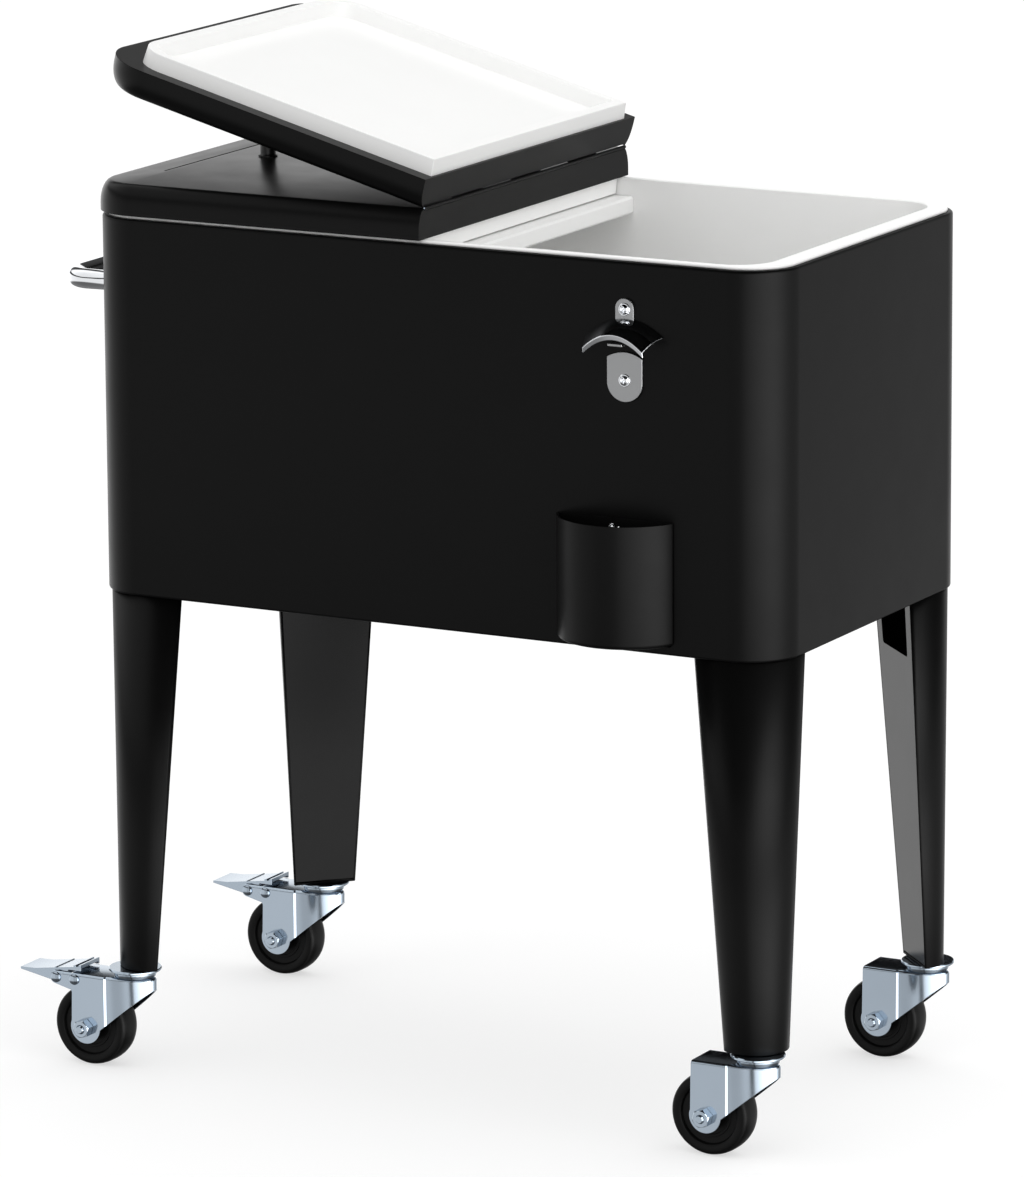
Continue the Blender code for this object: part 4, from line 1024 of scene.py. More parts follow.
@dataclass
class Caster:
    """One swivel caster, built from its place in the layout."""

    place: CasterPlace
    fork_top: float = 87 * MM
    fork_sheet: float = 2 * MM
    fork_half: float = 20 * MM
    fork_back: float = 13.7 * MM
    fork_bend: float = 20.7 * MM
    fork_step: float = 1.6 * MM
    fork_nose: float = 21.1 * MM
    nose_drop: float = 11 * MM
    top_round: float = 3.2 * MM
    lobe: float = 15.3 * MM
    ear_end: float = 6.2 * MM
    ear_length: float = 22.5 * MM
    wheel_width: float = 25.4 * MM
    hub_radius: float = 10.5 * MM
    hub_width: float = 32 * MM
    axle_radius: float = 4 * MM
    nut_width: float = 15 * MM
    nut_height: float = 8.8 * MM
    head_height: float = 5 * MM
    bolt_end: float = 2.2 * MM
    thread_pitch: float = 1.25 * MM
    thread_depth: float = 0.45 * MM
    rivet_radius: float = 2.5 * MM
    rivet_head: float = 5.1 * MM
    rivet_height: float = 2.2 * MM
    shoe_pin_behind: float = 10.9 * MM
    pedal_gap: float = 1.5 * MM
    pedal_sheet: float = 1.8 * MM
    pedal_tip: float = 40 * MM
    pedal_tip_rise: float = 4 * MM
    pedal_tread: float = 15 * MM
    pedal_rear: float = 24.5 * MM
    pedal_rear_rise: float = 11.2 * MM
    pedal_lift: float = 1.7 * MM
    pedal_cheek: float = 11.5 * MM
    pedal_eye: float = 5.8 * MM
    pedal_hole: float = 2.7 * MM
    mount_plate: float = 2.8 * MM
    race_radius: float = 19.5 * MM
    kingpin_radius: float = 5 * MM
    kingpin_hole: float = 5.4 * MM
    kingpin_head: float = 8 * MM
    web: tuple[Pair, ...] = (
        (18, 3.2),
        (18.5, 2.2),
        (20.5, 2.2),
        (21, 3.0),
        (26.2, 3.0),
        (27.5, 0.6),
        (29, 0.0),
    )

    def build(self) -> None:
        """Makes the caster's pieces."""
        self.mount()
        self.fork()
        self.wheel()
        self.axle()
        if self.place.pedal:
            self.rivets()
            self.pedal()

    @property
    def bodies(self) -> tuple[str, str]:
        """The names of the swivelling and the rolling body."""
        return f"{self.place.name}_swivel", f"{self.place.name}_rolling"

    def mount(self) -> None:
        """Top plate, upper raceway and the swaged kingpin, turned in one profile."""
        node = f"{self.place.name}_caster_mount"
        low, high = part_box(node)
        centre = Vector((self.place.swivel.x, self.place.swivel.y, 0))
        seat = self.fork_top + GAP
        pin_end = self.fork_top - self.fork_sheet - GAP
        plate_low = high.z - self.mount_plate
        outer, race = (high.x - low.x) / 2, self.race_radius
        profile = [
            (0, low.z),
            (self.kingpin_head - 2.2 * MM, low.z),
            (self.kingpin_head, low.z + 1.1 * MM),
            (self.kingpin_head, pin_end),
            (self.kingpin_radius, pin_end),
            (self.kingpin_radius, seat),
            (race - 2.2 * MM, seat),
            (race - 0.6 * MM, seat + 0.5 * MM),
            (race, seat + 2.0 * MM),
            (race, plate_low - 0.6 * MM),
            (race + 0.6 * MM, plate_low),
            (outer - 0.7 * MM, plate_low),
            (outer, plate_low + 0.7 * MM),
            (outer, high.z - 0.7 * MM),
            (outer - 0.7 * MM, high.z),
            (0, high.z),
        ]
        form = turned(profile, UP, centre, 64)
        stand(f"{self.place.name}_raceway", form, ZINC, "cooler", [node])

    def side_outline(self) -> list[Pair]:
        """The fork's side in X and Z: a lobe round the axle, a slant to the nose, an ear for a brake."""
        axle, swivel = self.place.axle, self.place.swivel
        back, nose = axle.x - self.fork_back, swivel.x + self.fork_nose
        points = arc((axle.x, axle.z), self.lobe, 160, 355, 28)
        points.append((nose, self.fork_top - self.nose_drop))
        points.append((nose, self.fork_top))
        if self.place.pedal:
            pivot = self.place.pedal
            ear = arc((pivot.x, pivot.z), self.ear_end, 110, 250, 16)
            points += [(x, min(z, self.fork_top)) for x, z in ear]
            points.append((back - MM, pivot.z - self.ear_length / 2 + MM))
            points.append((back, pivot.z - self.ear_length / 2 - MM))
        else:
            points.append((back, self.fork_top))
        return points

    def cover(self, inward: float, back: float) -> BMesh:
        """The fork's cap seen from above, round-nosed and with a bent top edge, drawn in by a wall.

        Args:
            inward: How far the walls lie inside the outer faces.
            back: The X at which it ends behind.

        Returns:
            The closed mesh, reaching below the floor.
        """
        swivel = self.place.swivel
        bend = swivel.x - self.fork_bend
        half = self.fork_half - inward
        reach = swivel.x + self.fork_nose - bend - inward
        nose = arc((bend, swivel.y), reach, -90, 90, 40, half - self.fork_step)
        step = bend - 0.9 * self.fork_step
        left, right = swivel.y - half, swivel.y + half
        outline = [(back, left), (step, left), *nose, (step, right), (back, right)]
        top = self.fork_top - inward
        form = plate(level(outline, -5 * MM), UP * (top + 5 * MM))
        bevel(form, edges_at(form, top, lambda p: p.x > back + NEAR), self.top_round - inward, 6)
        return form

    def fork(self) -> None:
        """Stamped fork: bent round the nose and over the top, with open back and lobes at the axle."""
        swivel, axle = self.place.swivel, self.place.axle
        node = f"{self.place.name}_fork"
        far_back = axle.x - 60 * MM
        reach = self.fork_half + PAST
        sides = plate(across(self.side_outline(), swivel.y - reach), REAR * 2 * reach)
        form = worked(sides, self.cover(0.0, far_back), how=Cut.COMMON)
        tools = [self.cover(self.fork_sheet, far_back - PAST)]
        tools.append(turned(bore(self.kingpin_hole, -2 * PAST, PAST), UP, swivel, 32))
        if self.place.pedal:
            back = axle.x - self.fork_back
            half = self.fork_half - self.fork_sheet
            low = Vector((far_back, swivel.y - half, self.fork_top - 2 * PAST))
            tools.append(block(low, Vector((back, swivel.y + half, self.fork_top + PAST))))
        form = worked(form, *tools)
        stand(f"{node}_skin", form, ZINC, self.bodies[0], [node], edge=0.45 * MM, sharp=20.0)

    def wheel(self) -> None:
        """Wheel turned in one profile: crowned tread, sunk web with a ring, and the hub."""
        axle = self.place.axle
        radius, half = axle.z, self.wheel_width / 2
        hub, round_off, shoulder = self.hub_width / 2, 3.4 * MM, radius - 4.2 * MM
        side = [(self.axle_radius + 0.35 * MM, hub), (self.hub_radius - MM, hub), (self.hub_radius, hub - MM)]
        side.append((self.hub_radius + 0.5 * MM, half - self.web[0][1] * MM))
        side += [(r * MM, half - sunk * MM) for r, sunk in self.web]
        side.append((shoulder, half))
        for a in (0.5, 0.9, 1.25):
            side.append((shoulder + round_off * math.sin(a), half - round_off * (1 - math.cos(a))))
        side += [(radius - 0.35 * MM, half - 5 * MM), (radius, half / 3)]
        profile = side + [(r, -w) for r, w in reversed(side)]
        form = turned(profile, REAR, axle, 96, ring=True)
        node = f"{self.place.name}_wheel"
        stand(f"{node}_skin", form, WHEEL_RUBBER, self.bodies[1], [node])

    def axle(self) -> None:
        """Axle bolt with its head at the rear, threaded end and nut at the front."""
        axle = self.place.axle
        seat = self.fork_half + GAP
        end = seat + self.nut_height + self.bolt_end
        r, pitch = self.axle_radius, self.thread_pitch
        profile = [(0, -seat), (r, -seat), (r, seat + 0.5 * MM)]
        for i in range(int((end - seat - 1.2 * MM) / pitch)):
            start = seat + 0.5 * MM + i * pitch
            profile += [(r - self.thread_depth, start + pitch / 2), (r, start + pitch)]
        profile += [(r - 2 * self.thread_depth, end), (0, end)]
        head = bolt_head(axle + REAR * seat, REAR, self.nut_width, self.head_height)
        form = together(turned(profile, FRONT, axle, 40), head)
        node = f"{self.place.name}_axle_bolt"
        stand(f"{node}_skin", form, ZINC, self.bodies[0], [node], edge=0.2 * MM)
        nut = bolt_head(axle + FRONT * (seat - 0.1 * MM), FRONT, self.nut_width, self.nut_height)
        nut = worked(nut, turned(bore(r + 0.2 * MM, -2 * PAST, 10 * PAST), FRONT, axle, 40))
        node = f"{self.place.name}_axle_nut"
        stand(f"{node}_skin", nut, ZINC, self.bodies[0], [node], edge=0.25 * MM)

    def rivets(self) -> None:
        """The pedal's pivot and the shoe pin, with domed heads."""
        pivot = self.place.pedal
        seat = self.fork_half + GAP
        head, tall = self.rivet_head, self.rivet_height
        rim = seat + 0.5 * MM
        dome = [(head * math.cos(a), rim + (seat + tall - rim) * math.sin(a)) for a in (0, 0.4, 0.8, 1.2)]
        half = [(self.rivet_radius, 0), (self.rivet_radius, seat), (head, seat), *dome, (0, seat + tall)]
        profile = [(r, -d) for r, d in reversed(half)] + half
        for piece, x in (("pedal_pivot", pivot.x), ("shoe_pin", self.place.axle.x - self.shoe_pin_behind)):
            form = turned(profile, REAR, Vector((x, pivot.y, pivot.z)), 32)
            node = f"{self.place.name}_{piece}"
            stand(f"{node}_skin", form, ZINC, self.bodies[0], [node])

    def pedal(self) -> None:
        """Pressed brake pedal: a flat tread, a rising deck with ribs, and two cheeks to the pivot."""
        pivot, y = self.place.pedal, self.place.swivel.y
        half = self.fork_half - self.fork_sheet - self.pedal_gap
        tip, rear = pivot.x - self.pedal_tip, pivot.x + self.pedal_rear
        tip_z, rear_z = pivot.z + self.pedal_tip_rise, pivot.z + self.pedal_rear_rise
        tread = tip + self.pedal_tread
        slope = (rear_z - tip_z) / (rear - tread)

        def deck(x: float, lift: float = 0.0) -> Pair:
            """A point on the sloping deck, or above it."""
            return x, tip_z + 0.4 * MM + (x - tread) * slope + lift

        points = [(tip, tip_z - 2 * MM), (tip, tip_z), deck(tread)]
        flank = 0.2 * MM
        ribs = ((pivot.x - 3.6 * MM, 1.4 * MM, 0.7 * MM), (rear - 8 * MM, 2.5 * MM, 1.6 * MM))
        for start, width, tall in ribs:
            end = start + width
            points += [deck(start), deck(start + flank, tall), deck(end - flank, tall), deck(end)]
        points += [deck(rear - 2.6 * MM), deck(rear - 2.4 * MM, 1.2 * MM), deck(rear, 1.2 * MM)]
        low_rear = self.fork_top + self.pedal_lift
        points += [(rear, low_rear), (pivot.x + self.pedal_cheek, low_rear)]
        points += arc((pivot.x, pivot.z), self.pedal_eye, 300, 240, 12)
        form = plate(across(points, y - half), REAR * 2 * half)
        inner = half - self.pedal_sheet
        start, low, end = tip_z - self.pedal_sheet, pivot.z - self.pedal_eye - PAST, rear + PAST
        hollow = [(tip + self.pedal_tread / 2, start), (tip + self.pedal_tread / 2, low), (end, low)]
        hollow += [(end, start + slope * (end - tread)), (tread, start)]
        tool = plate(across(hollow, y - inner), REAR * 2 * inner)
        hole = turned(bore(self.pedal_hole, -half - MM, half + MM), REAR, pivot, 32)
        form = worked(form, tool, hole)
        node = f"{self.place.name}_brake_pedal"
        body = f"{self.place.name}_brake"
        stand(f"{node}_skin", form, ZINC, body, [node], edge=0.3 * MM, sharp=20.0)


@dataclass
class Handle:
    """Bent chrome tube on the left end."""

    layout: Layout
    radius: float = 9.2 * MM
    reach: float = 55 * MM
    half_span: float = 135 * MM
    bend: float = 22 * MM
    bend_steps: int = 16
    sides: int = 40
    flange: float = 15.5 * MM
    flange_thick: float = 3 * MM

    def build(self) -> None:
        """Extrudes and spins a circle along the handle's path, and adds the two flanges."""
        low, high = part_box("end_handle")
        middle = self.layout.middle
        wall = self.layout.body_low.x - GAP
        z = (low.z + high.z) / 2
        start = Vector((wall, middle.y - self.half_span, z))
        form = bmesh.new()
        place = Matrix.Translation(start) @ Matrix.Rotation(math.pi / 2, 4, "Y")
        bmesh.ops.create_circle(form, cap_ends=True, segments=self.sides, radius=self.radius, matrix=place)
        end = next(iter(form.faces))
        bar_x = wall + GAP - self.reach
        end = push(form, end, Vector((bar_x + self.bend - wall, 0, 0)))
        end = self.turn(form, end, Vector((bar_x + self.bend, start.y + self.bend, z)))
        end = push(form, end, Vector((0, 2 * (self.half_span - self.bend), 0)))
        end = self.turn(form, end, Vector((bar_x + self.bend, middle.y + self.half_span - self.bend, z)))
        push(form, end, Vector((wall - bar_x - self.bend, 0, 0)))
        bmesh.ops.recalc_face_normals(form, faces=form.faces)
        thick, r = self.flange_thick, self.flange
        neck = thick + 1.4 * MM
        profile = [(0, 0), (r, 0), (r, thick * 0.5), (r - 1.2 * MM, thick * 0.85), (r - 3 * MM, thick)]
        profile += [(self.radius + 0.8 * MM, thick + 0.4 * MM), (self.radius, neck), (0, neck)]
        centres = [Vector((wall, middle.y + side * self.half_span, z)) for side in (-1, 1)]
        feet = [turned(profile, Vector((-1, 0, 0)), centre, 48) for centre in centres]
        form = worked(form, *feet, how=Cut.JOIN)
        stand("end_handle_skin", form, CHROME, "cooler", ["end_handle"], sharp=50.0)

    def turn(self, form: BMesh, end: BMFace, centre: Vector) -> BMFace:
        """Spins the tube's end a quarter turn about an upright axis.

        Args:
            form: The tube.
            end: Its end face.
            centre: Where it turns.

        Returns:
            The new end face.
        """
        geom = [end, *end.edges, *end.verts]
        made = bmesh.ops.spin(
            form, geom=geom, cent=centre, axis=-UP, angle=math.pi / 2, steps=self.bend_steps, use_merge=False
        )["geom_last"]
        return next(g for g in made if isinstance(g, BMFace))


@dataclass
class Opener:
    """Wall bottle opener: satin back plate with a polished arched hood and a tooth under it."""

    layout: Layout
    x_from_middle: float = 200.5 * MM
    plate_thick: float = 2.6 * MM
    top_below: float = 31 * MM
    bottom_below: float = 121.5 * MM
    tab_half: float = 8.8 * MM
    plate_half: float = 17 * MM
    hood_below: float = 48.5 * MM
    crest_below: float = 77.8 * MM
    crest_sag: float = 4.9 * MM
    tooth_reach: float = 21 * MM
    wall_half: float = 36.5 * MM
    wall_sag: float = 14.5 * MM
    lip_half: float = 29 * MM
    lip_sag: float = 13.5 * MM
    reach: float = 27 * MM
    drop: float = 10.5 * MM
    lip_height: float = 5 * MM
    skin: float = 2.6 * MM
    tooth_width: float = 14 * MM
    tooth_below: float = 70 * MM
    screw_drop: float = 9.5 * MM
    spare_drop: float = 20.5 * MM
    lower_screw_below: float = 102.5 * MM
    spare_radius: float = 2.6 * MM
    tooth_thick: float = 2.4 * MM
    hood_steps: int = 32
    hood_rows: int = 6
    hood_curve: float = 1.6

    def build(self) -> None:
        """Makes the plate, the hood and the screws."""
        x = self.layout.middle.x + self.x_from_middle
        top, near = self.layout.body_high.z, self.layout.body_low.y - GAP
        obj = self.plate(x, top, near)
        self.hood(x, top, near)
        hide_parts("bottle_opener")
        seat = near - self.plate_thick
        upper = Vector((x, seat, top - self.top_below - self.screw_drop))
        lower = Vector((x, seat, top - self.lower_screw_below))
        for name, place in (("opener_upper_screw", upper), ("opener_lower_screw", lower)):
            PanScrew(name, place).build()

    def plate(self, x: float, top: float, near: float) -> bpy.types.Object:
        """Back plate: a narrow tab with its spare hole and tooth above, and a round-ended plate below.

        Args:
            x: The opener's middle.
            top: The body's top.
            near: The face of the body that it lies on.

        Returns:
            The plate's object.
        """
        tab_top, low = top - self.top_below, top - self.bottom_below
        crest, sag = top - self.crest_below, self.crest_sag
        shoulder = top - self.hood_below - self.wall_sag / 2
        root = top - self.tooth_below - MM
        half = self.tooth_width / 2
        outline = arc((x, tab_top - self.tab_half), self.tab_half, 0, 180, 24)
        outline += [(x - self.tab_half, shoulder), (x - half, shoulder - 2 * MM), (x - half, root)]
        outline += [(x + half, root), (x + half, shoulder - 2 * MM), (x + self.tab_half, shoulder)]
        form = plate(across(outline, near), FRONT * self.plate_thick)
        outline = arc((x, low + self.plate_half), self.plate_half, 180, 360, 32)
        outline += [(x - self.plate_half * i / 10, crest - sag * (i / 10) ** 2) for i in range(-10, 11)]
        lower = plate(across(outline, near), FRONT * self.plate_thick)
        tooth_z = top - self.tooth_below
        back = near - self.plate_thick / 2
        start = Vector((x - half, near - self.tooth_reach, tooth_z))
        tooth = block(start, Vector((x + half, back, tooth_z + self.tooth_thick)))
        form = worked(form, tooth, how=Cut.JOIN)
        centre = Vector((x, near, tab_top - self.spare_drop))
        hole = turned(bore(self.spare_radius, -MM, 2 * PAST), FRONT, centre, 32)
        form = together(worked(form, hole), lower)
        return stand("opener_plate", form, SATIN_STEEL, "cooler", edge=0.6 * MM)

    def hood(self, x: float, top: float, near: float) -> None:
        """Polished hood: the arched line at the wall is extruded out to the narrower lip, then down.

        Args:
            x: The opener's middle.
            top: The body's top.
            near: The face of the body that it lies on.
        """
        form = bmesh.new()
        steps, rows = self.hood_steps, self.hood_rows
        crest = Vector((x, near - MM, top - self.hood_below))
        row = []
        for i in range(steps + 1):
            turn = 2 * i / steps - 1
            place = Vector((self.wall_half * turn, 0, -self.wall_sag * turn * turn))
            row.append(form.verts.new(crest + place))
        edges = [form.edges.new(pair) for pair in zip(row[:-1], row[1:])]
        narrow = self.lip_half / self.wall_half
        flatter = self.lip_sag / self.wall_sag
        for i in range(rows):
            made = bmesh.ops.extrude_edge_only(form, edges=edges)["geom"]
            verts = [g for g in made if isinstance(g, BMVert)]
            edges = [g for g in made if isinstance(g, BMEdge)]
            before, after = i / rows, (i + 1) / rows
            scale = Vector((self.mixed(narrow, after) / self.mixed(narrow, before), 1, 1))
            scale.z = self.mixed(flatter, after) / self.mixed(flatter, before)
            bmesh.ops.scale(form, vec=scale, space=Matrix.Translation(-crest), verts=verts)
            out = (self.reach - self.skin / 2 - MM) / rows
            down = self.drop * (after**self.hood_curve - before**self.hood_curve)
            step = Vector((0, -out, -down))
            bmesh.ops.translate(form, verts=verts, vec=step)
            crest += step
        made = bmesh.ops.extrude_edge_only(form, edges=edges)["geom"]
        verts = [g for g in made if isinstance(g, BMVert)]
        bmesh.ops.translate(form, verts=verts, vec=Vector((0, 0.8 * MM, -self.lip_height)))
        bmesh.ops.recalc_face_normals(form, faces=form.faces)
        upward = max(form.faces, key=lambda f: abs(f.normal.z))
        if upward.normal.z < 0:
            bmesh.ops.reverse_faces(form, faces=form.faces)
        wall, edge = self.skin, 0.7 * MM
        stand("opener_hood", form, CHROME, "cooler", wall=wall, edge=edge, sharp=40.0)

    @staticmethod
    def mixed(end: float, share: float) -> float:
        """A width at a share of the way from 1 to its end value."""
        return 1 + (end - 1) * share


@dataclass(frozen=True)
class PanScrew:
    """A pan-head screw with a cross recess, standing for a CAD screw on the body's front."""

    node: str
    seat: Vector
    collar: float = 5.6 * MM
    collar_height: float = 0.9 * MM
    head: float = 4.4 * MM
    height: float = 2.6 * MM
    arm: float = 2.6 * MM
    arm_half: float = 0.6 * MM

    def build(self) -> None:
        """Turns the head and cuts the cross into it."""
        rim, tall = self.collar_height, self.height
        profile = [(0, 0.1 * MM), (self.collar, 0.1 * MM), (self.collar, 0.6 * MM)]
        profile += [(self.collar - 0.4 * MM, rim), (self.head + 0.2 * MM, rim), (self.head, 0.7 * MM)]
        for a in (0.1, 0.45, 0.8, 1.1, 1.35):
            profile.append((self.head * math.cos(a), rim + (tall - rim) * math.sin(a)))
        form = turned([*profile, (0, tall)], FRONT, self.seat, 40)
        top = self.seat + FRONT * tall
        cross = ((self.arm, self.arm_half), (self.arm_half, self.arm))
        arms = (block(top - Vector((x, MM, z)), top + Vector((x, 2 * MM, z))) for x, z in cross)
        form = worked(form, *arms)
        stand(f"{self.node}_skin", form, CHROME, "cooler", [self.node], edge=0.12 * MM)


@dataclass
class Catcher:
    """Half-round cup for bottle caps on the body's front, hollowed from its outer form."""

    layout: Layout
    x_from_middle: float = 189.5 * MM
    half: float = 57 * MM
    depth: float = 38.5 * MM
    top_below: float = 224.5 * MM
    height: float = 108.5 * MM
    wall: float = 1.4 * MM
    edge: float = 4 * MM
    back_round: float = 1.6 * MM
    floor_share: float = 1.4
    steps: int = 48
    screw_drop: float = 10 * MM

    def build(self) -> None:
        """Makes the cup and its screw."""
        x = self.layout.middle.x + self.x_from_middle
        near = self.layout.body_low.y - GAP
        top = self.layout.body_high.z - self.top_below
        form = worked(self.cup(x, near, top, 0.0), self.cup(x, near, top, self.wall))
        stand("catcher_cup", form, BODY_ENAMEL, "cooler", ["cap_catcher"], edge=0.35 * MM)
        PanScrew("catcher_screw", Vector((x, near - self.wall, top - self.screw_drop))).build()

    def cup(self, x: float, near: float, top: float, wall: float) -> BMesh:
        """The cup's outer form, or its hollow where a wall is given.

        Args:
            x: The cup's middle.
            near: The face of the body that it lies on.
            top: The height of its mouth.
            wall: How far the form lies inside the outer faces.

        Returns:
            The closed mesh.
        """
        radius = (self.half**2 + self.depth**2) / (2 * self.depth)
        centre = (x, near - self.depth + radius)
        back = near - wall
        inner = radius - wall
        half_turn = math.degrees(math.acos((centre[1] - back) / inner))
        outline = arc(centre, inner, 270 - half_turn, 270 + half_turn, self.steps)
        low, high = top - self.height + wall * self.floor_share, top + (PAST if wall else 0.0)
        form = plate(level(outline, low), UP * (high - low))
        corners = [e for e in uprights(form) if abs(e.verts[0].co.y - back) < NEAR]
        bevel(form, corners, self.back_round - wall / 2, 4)
        bevel(form, edges_at(form, low), self.edge - wall, 6)
        return form


@dataclass(frozen=True)
class Lamp:
    """One square lamp of the studio: its place and width in metres, and its power in watts."""

    name: str
    place: Triple
    width: float
    power: float


@dataclass
class Studio:
    """Pale floor, white backdrop, black cards, soft lamps and the photograph's camera.

    walls holds the level that polished metal mirrors at each angle about Z, in degrees from the front
    and positive to the right. ceiling, band_low, band_high, rear and under are ranges of a ray's upward
    or rearward part over which that room turns dark or bright: the ceiling behind, a dark band in front,
    and what lies underneath.
    """

    layout: Layout
    azimuth: float = 28.301
    elevation: float = 12.424
    roll: float = -0.376
    distance: float = 6.7181
    aim_x: float = -17.8 * MM
    aim_z: float = 442.9 * MM
    focal_pixels: float = 7448.47
    photo_height: float = 1177.0
    sensor: float = 36.0
    floor_half: float = 14.0
    floor_colour: str = "b4b4b4"
    floor_glow: float = 0.59
    cards: tuple[tuple[Triple, Triple], ...] = (
        ((-0.82, 1.5, 0.2), (-0.18, 1.52, 0.72)),
        ((-0.42, -1.9, 1.3), (1.1, 0.25, 1.31)),
    )
    walls: tuple[Pair, ...] = (
        (-180, 1.0),
        (-151, 1.35),
        (-118, 1.6),
        (-80, 1.15),
        (-50, 1.0),
        (-28, 1.0),
        (-22, 0.72),
        (-12, 0.75),
        (-6, 1.0),
        (1, 1.1),
        (2.5, 0.1),
        (8, 0.1),
        (9.5, 1.6),
        (30, 2.9),
        (55, 4.4),
        (75, 5.2),
        (92, 3.6),
        (112, 1.2),
        (140, 0.55),
        (160, 0.55),
        (180, 1.0),
    )
    ceiling: Pair = (0.26, 0.34)
    band_low: Pair = (0.18, 0.21)
    band_high: Pair = (0.33, 0.37)
    rear: Pair = (0.25, 0.5)
    under: Pair = (-0.5, -0.34)
    under_dark: float = 0.9
    dark_level: float = 0.05
    horizon_strength: float = 0.76
    zenith_strength: float = 1.06
    lamps_aim: float = 0.5
    lamps: tuple[Lamp, ...] = (
        Lamp("key_lamp", (2.9, -0.95, 1.25), 2.2, 10.0),
        Lamp("front_lamp", (-1.2, -2.6, 2.9), 2.0, 4.0),
        Lamp("top_lamp", (0.9, 0.3, 3.4), 2.4, 14.0),
    )

    def build(self) -> None:
        """Makes the floor, the cards, the world, the lamps and the camera."""
        self.floor()
        self.flags()
        self.world()
        for lamp in self.lamps:
            self.hang(lamp)
        self.camera()

    def floor(self) -> None:
        """A wide pale floor that is white to the camera and takes the shadow."""
        form = bmesh.new()
        place = Matrix.Translation((0, 0, -0.2 * MM))
        bmesh.ops.create_grid(form, x_segments=1, y_segments=1, size=self.floor_half, matrix=place)
        obj = as_object(form, "studio_floor")
        tree = self.bare_material(obj, "pale_floor")
        matt = add_node(tree, "ShaderNodeBsdfDiffuse", Color=linear(self.floor_colour))
        seen = add_node(tree, "ShaderNodeLightPath")
        direct = worked_out(tree, "MULTIPLY", seen.outputs["Is Camera Ray"], self.floor_glow)
        glow = add_node(tree, "ShaderNodeEmission", {"Strength": direct}, Color=linear("ffffff"))
        both = add_node(tree, "ShaderNodeAddShader", {0: matt.outputs[0], 1: glow.outputs[0]})
        add_node(tree, "ShaderNodeOutputMaterial", {"Surface": both.outputs[0]})
        obj.visible_glossy = False

    def flags(self) -> None:
        """Two black cards seen only in polished metal, one upright behind the cooler, one flat above it."""
        form = together(*(block(Vector(low), Vector(high)) for low, high in self.cards))
        obj = as_object(form, "studio_flags")
        tree = self.bare_material(obj, "black_flock")
        matt = add_node(tree, "ShaderNodeBsdfDiffuse", Color=linear("050505"))
        add_node(tree, "ShaderNodeOutputMaterial", {"Surface": matt.outputs[0]})
        for kind in ("camera", "diffuse", "transmission", "volume_scatter", "shadow"):
            setattr(obj, f"visible_{kind}", False)

    @staticmethod
    def bare_material(obj: bpy.types.Object, name: str) -> bpy.types.NodeTree:
        """Gives an object a new material and returns its empty tree."""
        material = bpy.data.materials.new(name)
        material.use_nodes = True
        material.node_tree.nodes.clear()
        obj.data.materials.append(material)
        return material.node_tree

    def world(self) -> None:
        """White to the camera, a graded dome on the object, and the studio's room in reflections."""
        world = bpy.data.worlds.new("studio")
        bpy.context.scene.world = world
        world.use_nodes = True
        tree = world.node_tree
        shade = tree.nodes["Background"]
        shade.inputs["Color"].default_value = linear("ffffff")
        seen = add_node(tree, "ShaderNodeLightPath")
        camera, mirror = seen.outputs["Is Camera Ray"], seen.outputs["Is Glossy Ray"]
        ray = add_node(tree, "ShaderNodeTexCoord")
        parts = add_node(tree, "ShaderNodeSeparateXYZ", {"Vector": ray.outputs["Generated"]})
        mirrored = worked_out(tree, "MULTIPLY", self.room(tree, parts), mirror)
        others = ranged(tree, worked_out(tree, "MAXIMUM", camera, mirror), goal=(1.0, 0.0))
        dome = ranged(tree, parts.outputs["Z"], goal=(self.horizon_strength, self.zenith_strength))
        soft = worked_out(tree, "MULTIPLY", others, dome)
        total = worked_out(tree, "ADD", worked_out(tree, "ADD", mirrored, soft), camera)
        tree.links.new(total, shade.inputs["Strength"])

    def room(self, tree: bpy.types.NodeTree, parts: bpy.types.Node) -> bpy.types.NodeSocket:
        """The level of the studio's walls in a ray's direction, less where the room is dark.

        Args:
            tree: The world's node tree.
            parts: The node that gives the direction's X, Y and Z.

        Returns:
            The level.
        """
        front = worked_out(tree, "MULTIPLY", parts.outputs["Y"], -1.0)
        turn = worked_out(tree, "ARCTAN2", parts.outputs["X"], front)
        walls = add_node(tree, "ShaderNodeValToRGB", {"Fac": ranged(tree, turn, (-math.pi, math.pi))})
        peak = max(level for _, level in self.walls)
        stops = walls.color_ramp.elements
        stops.remove(stops[1])
        for angle, level in self.walls:
            stop = stops.new((angle + 180) / 360) if angle > -180 else stops[0]
            stop.color = (level / peak, level / peak, level / peak, 1)
        lit = ranged(tree, self.darkness(tree, parts), goal=(peak, peak * self.dark_level))
        return worked_out(tree, "MULTIPLY", walls.outputs["Color"], lit)

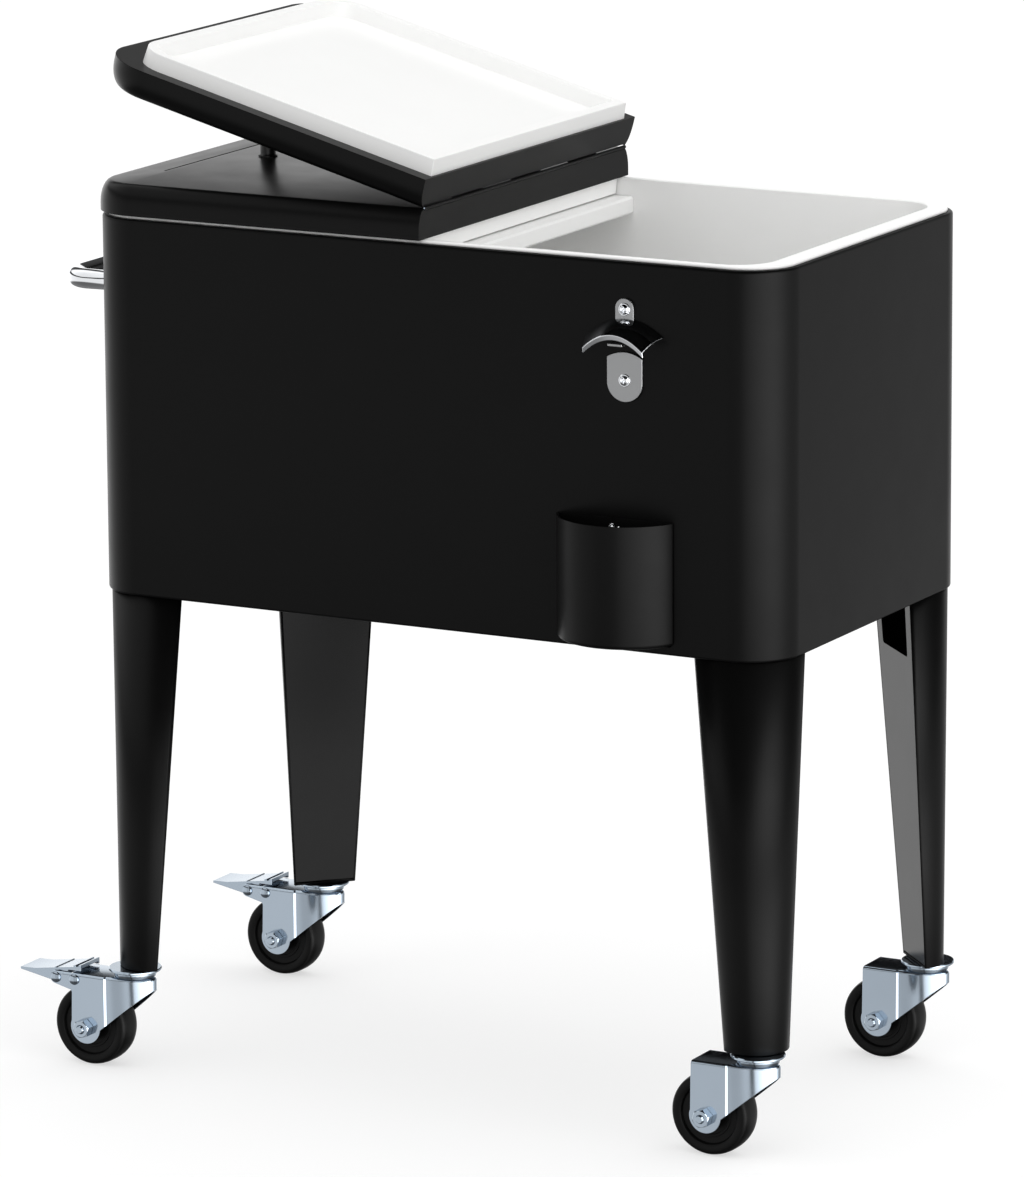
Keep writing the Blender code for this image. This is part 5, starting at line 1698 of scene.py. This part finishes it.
    def darkness(self, tree: bpy.types.NodeTree, parts: bpy.types.Node) -> bpy.types.NodeSocket:
        """How dark the room is in a ray's direction, from 0 to 1.

        Args:
            tree: The world's node tree.
            parts: The node that gives the direction's X, Y and Z.

        Returns:
            The share.
        """
        upward, curve = parts.outputs["Z"], "SMOOTHSTEP"
        high = ranged(tree, upward, self.ceiling, curve=curve)
        behind = ranged(tree, parts.outputs["Y"], self.rear, curve=curve)
        above = ranged(tree, upward, self.band_low, curve=curve)
        below = ranged(tree, upward, self.band_high, (1.0, 0.0), curve)
        band = worked_out(tree, "MULTIPLY", above, below)
        dark = add_node(tree, "ShaderNodeMix", {"Factor": behind, "A": band, "B": high})
        under = ranged(tree, upward, self.under, (self.under_dark, 0.0), curve)
        return worked_out(tree, "MAXIMUM", dark.outputs["Result"], under)

    def hang(self, lamp: Lamp) -> None:
        """Hangs one lamp, turned to the middle of the cooler and unseen in polished metal."""
        aim = self.layout.middle + UP * self.lamps_aim
        data = bpy.data.lights.new(lamp.name, "AREA")
        data.shape, data.size, data.energy = "SQUARE", lamp.width, lamp.power
        obj = bpy.data.objects.new(lamp.name, data)
        obj.location = lamp.place
        obj.rotation_mode = "QUATERNION"
        obj.rotation_quaternion = (aim - Vector(lamp.place)).to_track_quat("-Z", "Y")
        obj.visible_glossy = False
        bpy.context.scene.collection.objects.link(obj)

    def camera(self) -> None:
        """The camera at the photograph's angle, distance and focal length."""
        a, e, roll = (math.radians(v) for v in (self.azimuth, self.elevation, self.roll))
        back = Vector((math.sin(a) * math.cos(e), -math.cos(a) * math.cos(e), math.sin(e)))
        flat_right = Vector((math.cos(a), math.sin(a), 0))
        flat_up = back.cross(flat_right)
        right = flat_right * math.cos(roll) + flat_up * math.sin(roll)
        upward = flat_up * math.cos(roll) - flat_right * math.sin(roll)
        aim = self.layout.middle + Vector((self.aim_x, 0, self.aim_z))
        data = bpy.data.cameras.new("photo_camera")
        data.sensor_width = self.sensor
        data.lens = self.focal_pixels / self.photo_height * self.sensor
        data.clip_end = 60.0
        camera = bpy.data.objects.new("photo_camera", data)
        turn = Matrix((right, upward, back)).transposed()
        camera.matrix_world = Matrix.Translation(aim + back * self.distance) @ turn.to_4x4()
        bpy.context.scene.collection.objects.link(camera)
        bpy.context.scene.camera = camera
        bpy.context.scene.view_settings.view_transform = "Standard"


def main() -> None:
    """Builds the sub-assemblies in order."""
    logging.basicConfig(level=logging.INFO, format="%(name)s %(message)s")
    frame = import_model()
    layout = read_layout(frame)
    parts = [Body(layout), Lids(layout), Legs(layout), Handle(layout), Opener(layout), Catcher(layout)]
    parts += [Caster(place) for place in layout.casters]
    parts.append(Studio(layout))
    for part in parts:
        part.build()


if __name__ == "__main__":
    main()
